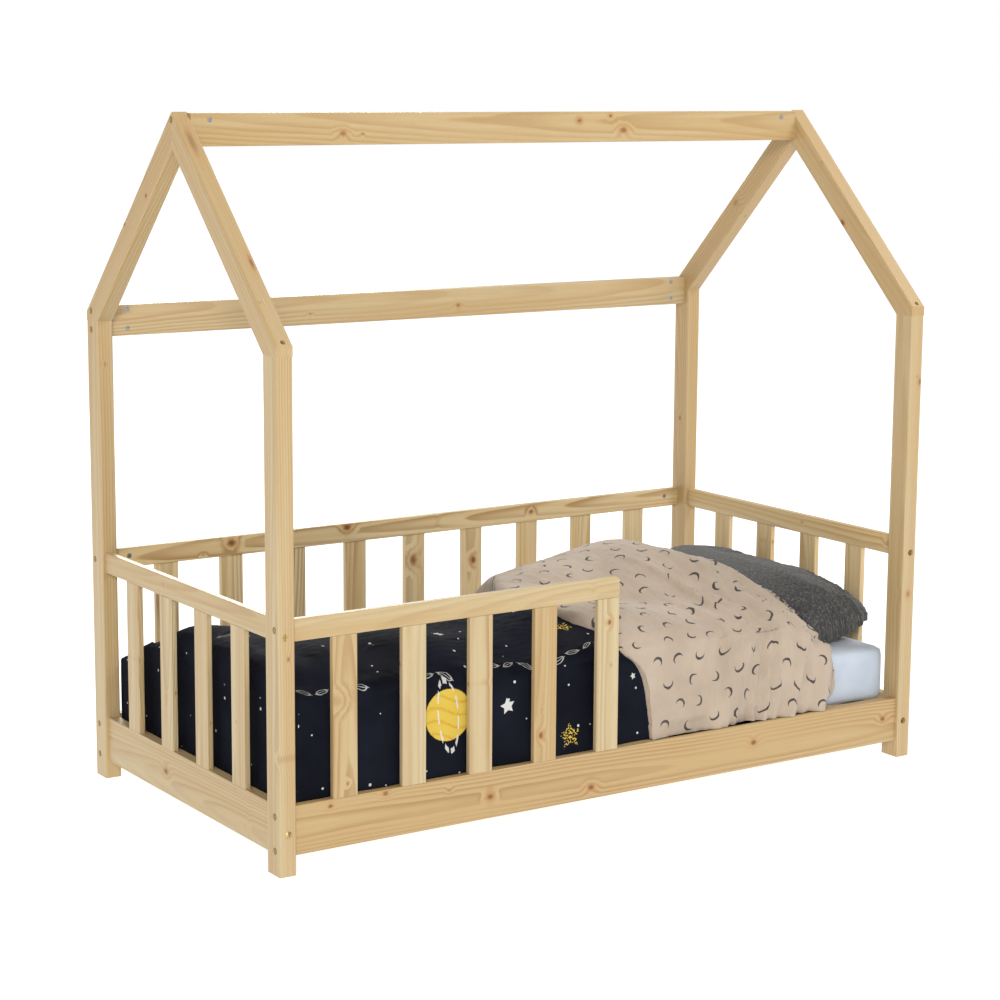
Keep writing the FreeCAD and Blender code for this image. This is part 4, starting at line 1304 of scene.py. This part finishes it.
@dataclass
class Duvet:
    """Thick duvet over the mattress, with its head end turned back.

    Each table pairs a place with a value, in metres. `across` and `foot` are the main part's heights across
    and along the bed. `ridge` is the turned-back end's height along its highest line, and `share` is how much
    of that is left across the bed. `flap` and `fold` say where its two ends are, and `fold_height` how high it
    is at the fold. `flap_drop` and `fold_drop` say where its ends are at each height where it hangs down the
    front.
    """

    hem: float = 0.1247
    foot_hem: float = 0.1170
    night_end: float = 0.150
    front: float = -0.3634
    back: float = 0.345
    bulge: float = -0.3700
    inner_gap: float = 0.0014
    pillow: Pillow = field(default_factory=Pillow)
    across: Table = (
        (-0.380, 0.288), (-0.3634, 0.300), (-0.350, 0.312), (-0.320, 0.324), (-0.250, 0.344), (-0.157, 0.357),
        (-0.060, 0.358), (0.047, 0.344), (0.080, 0.334), (0.130, 0.318), (0.188, 0.297), (0.277, 0.260),
        (0.318, 0.243), (0.345, 0.234))
    foot: Table = (
        (-0.7064, 0.296), (-0.7010, 0.330), (-0.6850, 0.360), (-0.650, 0.385), (-0.600, 0.402), (-0.40, 0.43),
        (0.6, 0.44))
    ridge: Table = (
        (-0.12, 0.335), (-0.06, 0.350), (0.0, 0.362), (0.073, 0.375), (0.148, 0.387), (0.203, 0.396),
        (0.288, 0.413), (0.345, 0.420), (0.433, 0.410), (0.480, 0.396), (0.56, 0.380))
    share: Table = (
        (-0.380, -0.03), (-0.3634, 0.02), (-0.345, 0.16), (-0.320, 0.30), (-0.250, 0.52), (-0.160, 0.76),
        (-0.080, 0.92), (0.0, 0.99), (0.040, 1.0), (0.080, 0.97), (0.130, 0.86), (0.188, 0.60), (0.250, 0.20),
        (0.300, -0.22), (0.345, -0.62))
    flap: Table = (
        (-0.380, 0.006), (-0.3634, 0.004), (-0.280, 0.000), (-0.210, -0.026), (-0.10, -0.036),
        (0.040, -0.002), (0.10, 0.030), (0.20, 0.072), (0.345, 0.106))
    fold: Table = (
        (-0.380, 0.545), (-0.362, 0.548), (-0.300, 0.530), (-0.200, 0.510), (0.0, 0.482), (0.200, 0.470),
        (0.345, 0.462))
    fold_height: Table = (
        (-0.380, 0.236), (-0.369, 0.246), (-0.350, 0.262), (-0.333, 0.276), (-0.295, 0.306), (-0.238, 0.343),
        (-0.164, 0.373), (-0.088, 0.389), (-0.003, 0.396), (0.093, 0.392), (0.200, 0.340), (0.300, 0.272),
        (0.345, 0.245))
    flap_drop: Table = (
        (0.123, 0.083), (0.143, 0.081), (0.188, 0.076), (0.233, 0.069), (0.260, 0.058), (0.285, 0.037),
        (0.309, 0.004))
    fold_drop: Table = (
        (0.125, 0.519), (0.147, 0.540), (0.193, 0.548), (0.231, 0.545), (0.263, 0.543), (0.310, 0.545))

    def lower_side(self, x: np.ndarray, y: np.ndarray) -> np.ndarray:
        """Height of what lies under the duvet: the mattress and pillow, or the hem beside them.

        Args:
            x: places along the bed.
            y: places across the bed.

        Returns:
            The heights.
        """
        low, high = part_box("mattress")
        gap = self.inner_gap
        height = np.where((x > low.x - gap) & (y > low.y - gap), high.z + gap, self.hem_at(y) - 0.030)
        return np.maximum(height, self.pillow.top(x, y) + 0.004)

    def hem_at(self, y: np.ndarray) -> np.ndarray:
        """Height of the hem: on the rail along the front, just inside the rail at the foot."""
        return np.where(y < -0.352, self.hem, self.foot_hem)

    def night_top(self, x: np.ndarray, y: np.ndarray) -> np.ndarray:
        """Height of the main part's upper side."""
        raised = 0.020 * np.exp(-((x + 0.655) / 0.055) ** 2) * soft_step(y, -0.06, 0.09)
        return lower_of(spline(self.across, y) + raised, spline(self.foot, x), 0.022)

    def turnback_top(self, x: np.ndarray, y: np.ndarray) -> np.ndarray:
        """Height of the turned-back end's upper side.

        Args:
            x: places along the bed.
            y: places across the bed.

        Returns:
            The heights.
        """
        top = 0.305 + (spline(self.ridge, x) - 0.305) * spline(self.share, y)
        top = np.maximum(top, spline(self.across, y) + 0.014)
        end = spline(self.fold, y)
        toward_fold = soft_step(x, end - 0.15, end - 0.02)
        top = top * (1 - toward_fold) + spline(self.fold_height, y) * toward_fold
        past_fold = np.clip((x - (end - 0.045)) / 0.045, 0, 1)
        past_flap = np.clip(((spline(self.flap, y) + 0.016) - x) / 0.016, 0, 1)
        thick = np.where(y > self.front + 0.012, top - self.lower_side(x, y), 0.05)
        return (top - np.clip(0.75 * thick, 0.006, 0.034) * (1 - np.sqrt(np.clip(1 - past_fold**2, 0, 1)))
                - 0.010 * (1 - np.sqrt(np.clip(1 - past_flap**2, 0, 1))))

    def build(self) -> str:
        """Models both parts of the duvet and returns their names."""
        return f"{self.night()}, {self.turnback()}"

    def lines(self, low: float, high: float, step: float, *marks: float) -> np.ndarray:
        """Even grid lines from low to high, with a close pair at each mark."""
        extra = [m + side for m in marks for side in (-0.00005, 0.00005)]
        return np.unique(np.concatenate((np.linspace(low, high, int((high - low) / step) + 2), extra)))

    def night(self) -> str:
        """Models the main part, printed side up.

        Returns:
            The piece's name.
        """
        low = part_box("mattress")[0]
        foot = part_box("duvet")[0].x
        gap = self.inner_gap
        x, y = np.meshgrid(self.lines(foot, self.night_end, 0.009, low.x - gap),
                           self.lines(self.front, self.back, 0.009, low.y - gap), indexing="ij")
        piece = SoftPiece("duvet_body", "duvet", 0.0056)
        piece.slab(x, y, self.night_top(x, y), self.lower_side(x, y))
        piece.remesh(6)
        points = piece.points()
        low_side = self.is_under(points)
        piece.inflate(2.2, 0.007, 0.030, np.where(low_side | self.in_drop(points), 1.0, 0.25))
        points, normals = piece.points(), piece.normals()
        swell = crumple(points, (5.0, 6.5, 5.0), 3.0) * 0.010 + crumple(points, (13, 9, 12), 9.0) * 0.0045
        drop = self.in_drop(points)
        crease = -np.exp(-((points[:, 2] - 0.298) / 0.010) ** 2) * 0.004 * (normals[:, 1] < -0.3)
        out = (normals[:, 1] < -0.5) | (normals[:, 0] < -0.5)
        hang = crumple(points, (15.0, 15.0, 3.5), 14.0) * 0.0050
        free = np.where(drop, np.minimum(hang, 0.0012) - 0.0015, swell)
        moved = np.where(low_side | (drop & ~out), 0.0, free) + crease
        points = points + normals * moved[:, None]
        points[:, 1] = np.maximum(points[:, 1], self.front + 0.007 * soft_step(points[:, 0], 0.088, 0.106))
        points[:, 0] = np.maximum(points[:, 0], foot)
        points[:, 2] = np.maximum(points[:, 2], self.hem_at(points[:, 1]))
        corner = (soft_step(points[:, 1], 0.28, 0.345) * soft_step(-points[:, 0], 0.63, 0.70)
                  * soft_step(points[:, 2], 0.236, 0.270))
        points = points + corner[:, None] * np.array((0.015, -0.012, -0.006))
        piece.move_to(points)
        piece.wrap(points[:, 0] - self.run_down(points, -0.690 - points[:, 0], 0.335),
                   points[:, 1] - self.run_down(points, -0.348 - points[:, 1], 0.300))
        night, sand = NightFinish().material(), CrescentFinish().material()
        piece.finish(0.7, "duvet", [night, sand], "duvet_cover")
        self.line_under(piece)
        return piece.name

    @staticmethod
    def run_down(points: np.ndarray, past: np.ndarray, edge: np.ndarray | float) -> np.ndarray:
        """How much further a point lies along the cloth where it hangs down.

        Args:
            points: the mesh's points.
            past: how far each is past the top's edge, where it is positive.
            edge: height of the top's edge.

        Returns:
            The added length at each point.
        """
        return np.clip(edge - points[:, 2], 0, None) * soft_step(past, 0.0, 0.006)

    def is_under(self, points: np.ndarray) -> np.ndarray:
        """Which points are on the side that faces the mattress.

        Args:
            points: the mesh's points.

        Returns:
            True for each point on that side.
        """
        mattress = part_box("mattress")
        top = points[:, 2] < mattress[1].z + 0.006
        return top & (points[:, 0] > mattress[0].x - 0.005) & (points[:, 1] > mattress[0].y - 0.005)

    @staticmethod
    def in_drop(points: np.ndarray) -> np.ndarray:
        """Which points hang down beside the mattress."""
        return (points[:, 2] < 0.296) & ((points[:, 1] < -0.340) | (points[:, 0] < -0.685))

    @staticmethod
    def line_under(piece: SoftPiece) -> None:
        """Gives the side that faces the mattress the second material.

        Args:
            piece: the main part, with both materials.
        """
        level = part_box("mattress")[1].z
        for face in piece.object.data.polygons:
            middle = face.center
            under = level - 0.0064 < middle.z < level + 0.0056 and face.normal.z < -0.5
            inside = face.normal.y > 0.5 and middle.y < -0.34 or face.normal.x > 0.5 and middle.x < -0.68
            face.material_index = int(under or inside)

    def turnback(self) -> str:
        """Models the turned-back end.

        Returns:
            The piece's name.
        """
        low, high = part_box("mattress")
        gap = self.inner_gap
        share = self.lines(0.0, 1.0, 0.016)
        y_lines = self.lines(self.bulge, self.back, 0.008, low.y - gap, self.front)
        share, y = np.meshgrid(share, y_lines, indexing="ij")
        start, end = spline(self.flap, y), spline(self.fold, y)
        x = start + share * (end - start)
        beneath = np.where(x < self.night_end - 0.004, self.night_top(x, y) - 0.012, self.lower_side(x, y))
        beneath = np.where(y < low.y - gap, self.hem - 0.030, beneath)
        piece = SoftPiece("duvet_turnback", "duvet", 0.0056)
        piece.slab(x, y, self.turnback_top(x, y), beneath)
        piece.remesh(8)
        self.slant_ends(piece)
        points = piece.points()
        hidden = (points[:, 2] < high.z + 0.006) & (points[:, 1] > low.y - 0.004)
        inner = (points[:, 1] < -0.342) & (points[:, 1] > -0.358) & (points[:, 2] < 0.29)
        beneath_now = self.lower_side(points[:, 0], points[:, 1])
        on_pillow = points[:, 2] < beneath_now + 0.008
        piece.inflate(2.2, 0.007, 0.035, np.where(hidden | inner | on_pillow, 1.0, 0.15))
        points, normals = piece.points(), piece.normals()
        free = ~(hidden | inner | on_pillow)
        moved = np.where(free, self.wrinkles(points, normals), 0.0)
        points = points + normals * moved[:, None]
        points[:, 1] = np.maximum(points[:, 1], -0.3800)
        points[:, 2] = np.maximum(points[:, 2], self.hem)
        beside_guard = points[:, 0] < -0.004
        points[:, 1] = np.where(beside_guard, np.maximum(points[:, 1], self.front), points[:, 1])
        piece.move_to(points)
        edge = self.turnback_top(points[:, 0], np.full(len(points), -0.345))
        nose = points[:, 0] - (spline(self.fold, points[:, 1]) - 0.010)
        piece.wrap(points[:, 0] + self.run_down(points, nose, 0.30) * 0.8,
                   points[:, 1] - self.run_down(points, -0.345 - points[:, 1], edge))
        piece.finish(0.7, "duvet", [CrescentFinish().material()], "duvet_cover")
        return piece.name

    def slant_ends(self, piece: SoftPiece) -> None:
        """Slants the ends of the turned-back part where it hangs at the front.

        Args:
            piece: the turned-back part, before its wrinkles.
        """
        points = piece.points()
        z = points[:, 2]
        at_front = soft_step(-points[:, 1], 0.335, 0.352)
        near_flap = 1 - soft_step(points[:, 0], 0.01, 0.20)
        near_fold = soft_step(points[:, 0], 0.38, 0.54)
        points[:, 0] += at_front * near_flap * (spline(self.flap_drop, z) - 0.004)
        points[:, 0] += at_front * near_fold * (spline(self.fold_drop, z) - 0.545)
        piece.move_to(points)

    def wrinkles(self, points: np.ndarray, normals: np.ndarray) -> np.ndarray:
        """Heights of the soft swells and long creases of the turned-back end.

        Args:
            points: the mesh's points.
            normals: their outward directions.

        Returns:
            How far each point moves along its normal.
        """
        x, y, z = points.T
        hang = normals[:, 1] < -0.6
        drawn = x - spline(self.fold, y) + 0.12 * np.clip(0.30 - z, 0, None)
        spread = np.stack((drawn, y * 0.22 - np.where(hang, 0.30 - z, 0) * 0.3, z * 0.1), -1)
        long = crumple(spread, (15.0, 6.5, 3.0), 21.4, True) * 0.5
        fine = crumple(spread, (38.0, 10.0, 3.0), 33.7, True) * 0.5
        drawn_in = soft_step(x, 0.13, 0.34) * soft_step(-y, -0.02, 0.20)
        swell = crumple(points, (5.5, 6.5, 4.0), 5.0) * 0.0085
        hollow = -0.012 * np.exp(-((x - 0.175) / 0.07) ** 2 - ((y + 0.17) / 0.07) ** 2)
        hem = crumple(points, (24.0, 2.0, 2.0), 8.0) * 0.0045 * (z < 0.150)
        end = spline(self.fold, y)
        fine = fine * (1 - 0.75 * soft_step(x, end - 0.055, end - 0.010))
        return swell + hollow + hem + drawn_in * ((long - 0.2) * 0.0170 + fine * 0.0095) + fine * 0.0014


# --------------------------------------------------------------------------- studio
@dataclass
class Studio:
    """White studio with a pale floor, soft lights and the camera."""

    eye: Triple = (-2.6546, -3.9305, 1.369)
    lens: float = 86.36
    shift: tuple[float, float] = (0.0371, -0.0121)
    turn: float = -32.87
    tip: float = -9.55
    roll: float = -0.24
    floor_side: float = 60.0
    ambient: float = 0.58

    def camera(self) -> None:
        """Makes the camera at its viewing angle."""
        data = bpy.data.cameras.new("camera")
        data.lens, data.sensor_width = self.lens, 36.0
        data.shift_x, data.shift_y = self.shift
        data.clip_end = 200.0
        camera = bpy.data.objects.new("camera", data)
        yaw, pitch = math.radians(self.turn), math.radians(self.tip)
        ahead = Vector((-math.sin(yaw) * math.cos(pitch), math.cos(yaw) * math.cos(pitch), math.sin(pitch)))
        right = Vector((math.cos(yaw), math.sin(yaw), 0.0))
        basis = Matrix((right, right.cross(ahead), -ahead)).transposed()
        camera.matrix_world = (Matrix.Translation(self.eye)
                               @ (Matrix.Rotation(math.radians(self.roll), 3, ahead) @ basis).to_4x4())
        bpy.context.scene.collection.objects.link(camera)
        bpy.context.scene.camera = camera

    def lamp(self, name: str, place: Vector, aim: Vector, power: float, size: float, colour: Colour) -> None:
        """Hangs one square soft light.

        Args:
            name: the light's name.
            place: where it hangs.
            aim: what it points at.
            power: its strength in watts.
            size: length of its side.
            colour: its colour.
        """
        data = bpy.data.lights.new(name, "AREA")
        data.energy, data.size, data.color = power, size, colour
        lamp = bpy.data.objects.new(name, data)
        lamp.location = place
        lamp.rotation_euler = (aim - place).to_track_quat("-Z", "Y").to_euler()
        bpy.context.scene.collection.objects.link(lamp)

    def floor(self) -> None:
        """Lays the pale floor."""
        bpy.ops.mesh.primitive_plane_add(size=self.floor_side, location=(0, 0, -0.001))
        floor = bpy.context.object
        floor.name = "studio_floor"
        paint = Paint("studio_floor")
        mottle = paint.noise(paint.place(), 3.0, 3.0)
        colour = paint.mixed(mottle, (0.43, 0.43, 0.43), (0.47, 0.47, 0.47))
        paint.finish(colour, mottle * 0.1 + 0.7, Specular_IOR_Level=0.0)
        paint.shader.inputs["Emission Color"].default_value = (1, 1, 1, 1)
        paint.shader.inputs["Emission Strength"].default_value = 0.88
        floor.data.materials.append(paint.material)

    def build(self) -> None:
        """Sets up the camera, floor, white surroundings and lights."""
        scene = bpy.context.scene
        scene.view_settings.view_transform = "Standard"
        scene.view_settings.look = "None"
        world = bpy.data.worlds.new("white_studio")
        world.use_nodes = True
        tree = world.node_tree
        seen = tree.nodes.new("ShaderNodeLightPath").outputs["Is Camera Ray"]
        strength = tree.nodes.new("ShaderNodeMapRange")
        strength.inputs["To Min"].default_value, strength.inputs["To Max"].default_value = self.ambient, 1.0
        tree.links.new(seen, strength.inputs["Value"])
        tree.links.new(strength.outputs[0], tree.nodes["Background"].inputs[1])
        tree.nodes["Background"].inputs[0].default_value = (1, 1, 1, 1)
        scene.world = world
        self.camera()
        self.floor()
        middle = Vector((0, 0, 0.6))
        self.lamp("key", Vector((-6.6, -9.0, 5.2)), middle, 700.0, 2.2, (1.0, 0.985, 0.965))
        self.lamp("top", Vector((2.6, -1.6, 4.2)), middle, 80.0, 1.2, (1.0, 0.99, 0.97))
        self.lamp("rear", Vector((1.8, 5.0, 2.6)), middle, 110.0, 2.0, (1.0, 0.99, 0.97))


def nothing_selected() -> None:
    """Leaves every object unselected."""
    bpy.ops.object.select_all(action="DESELECT")


def main() -> None:
    """Builds the bed's finishes and bedding, and reports each piece."""
    logging.basicConfig(level=logging.INFO, format="%(name)s: %(message)s")
    nothing_selected()
    Studio().build()
    for part in (Timber(), Fittings(), Mattress(), Pillow(), Duvet()):
        LOG.info("%s: %s", type(part).__name__, part.build())


if __name__ == "__main__":
    main()
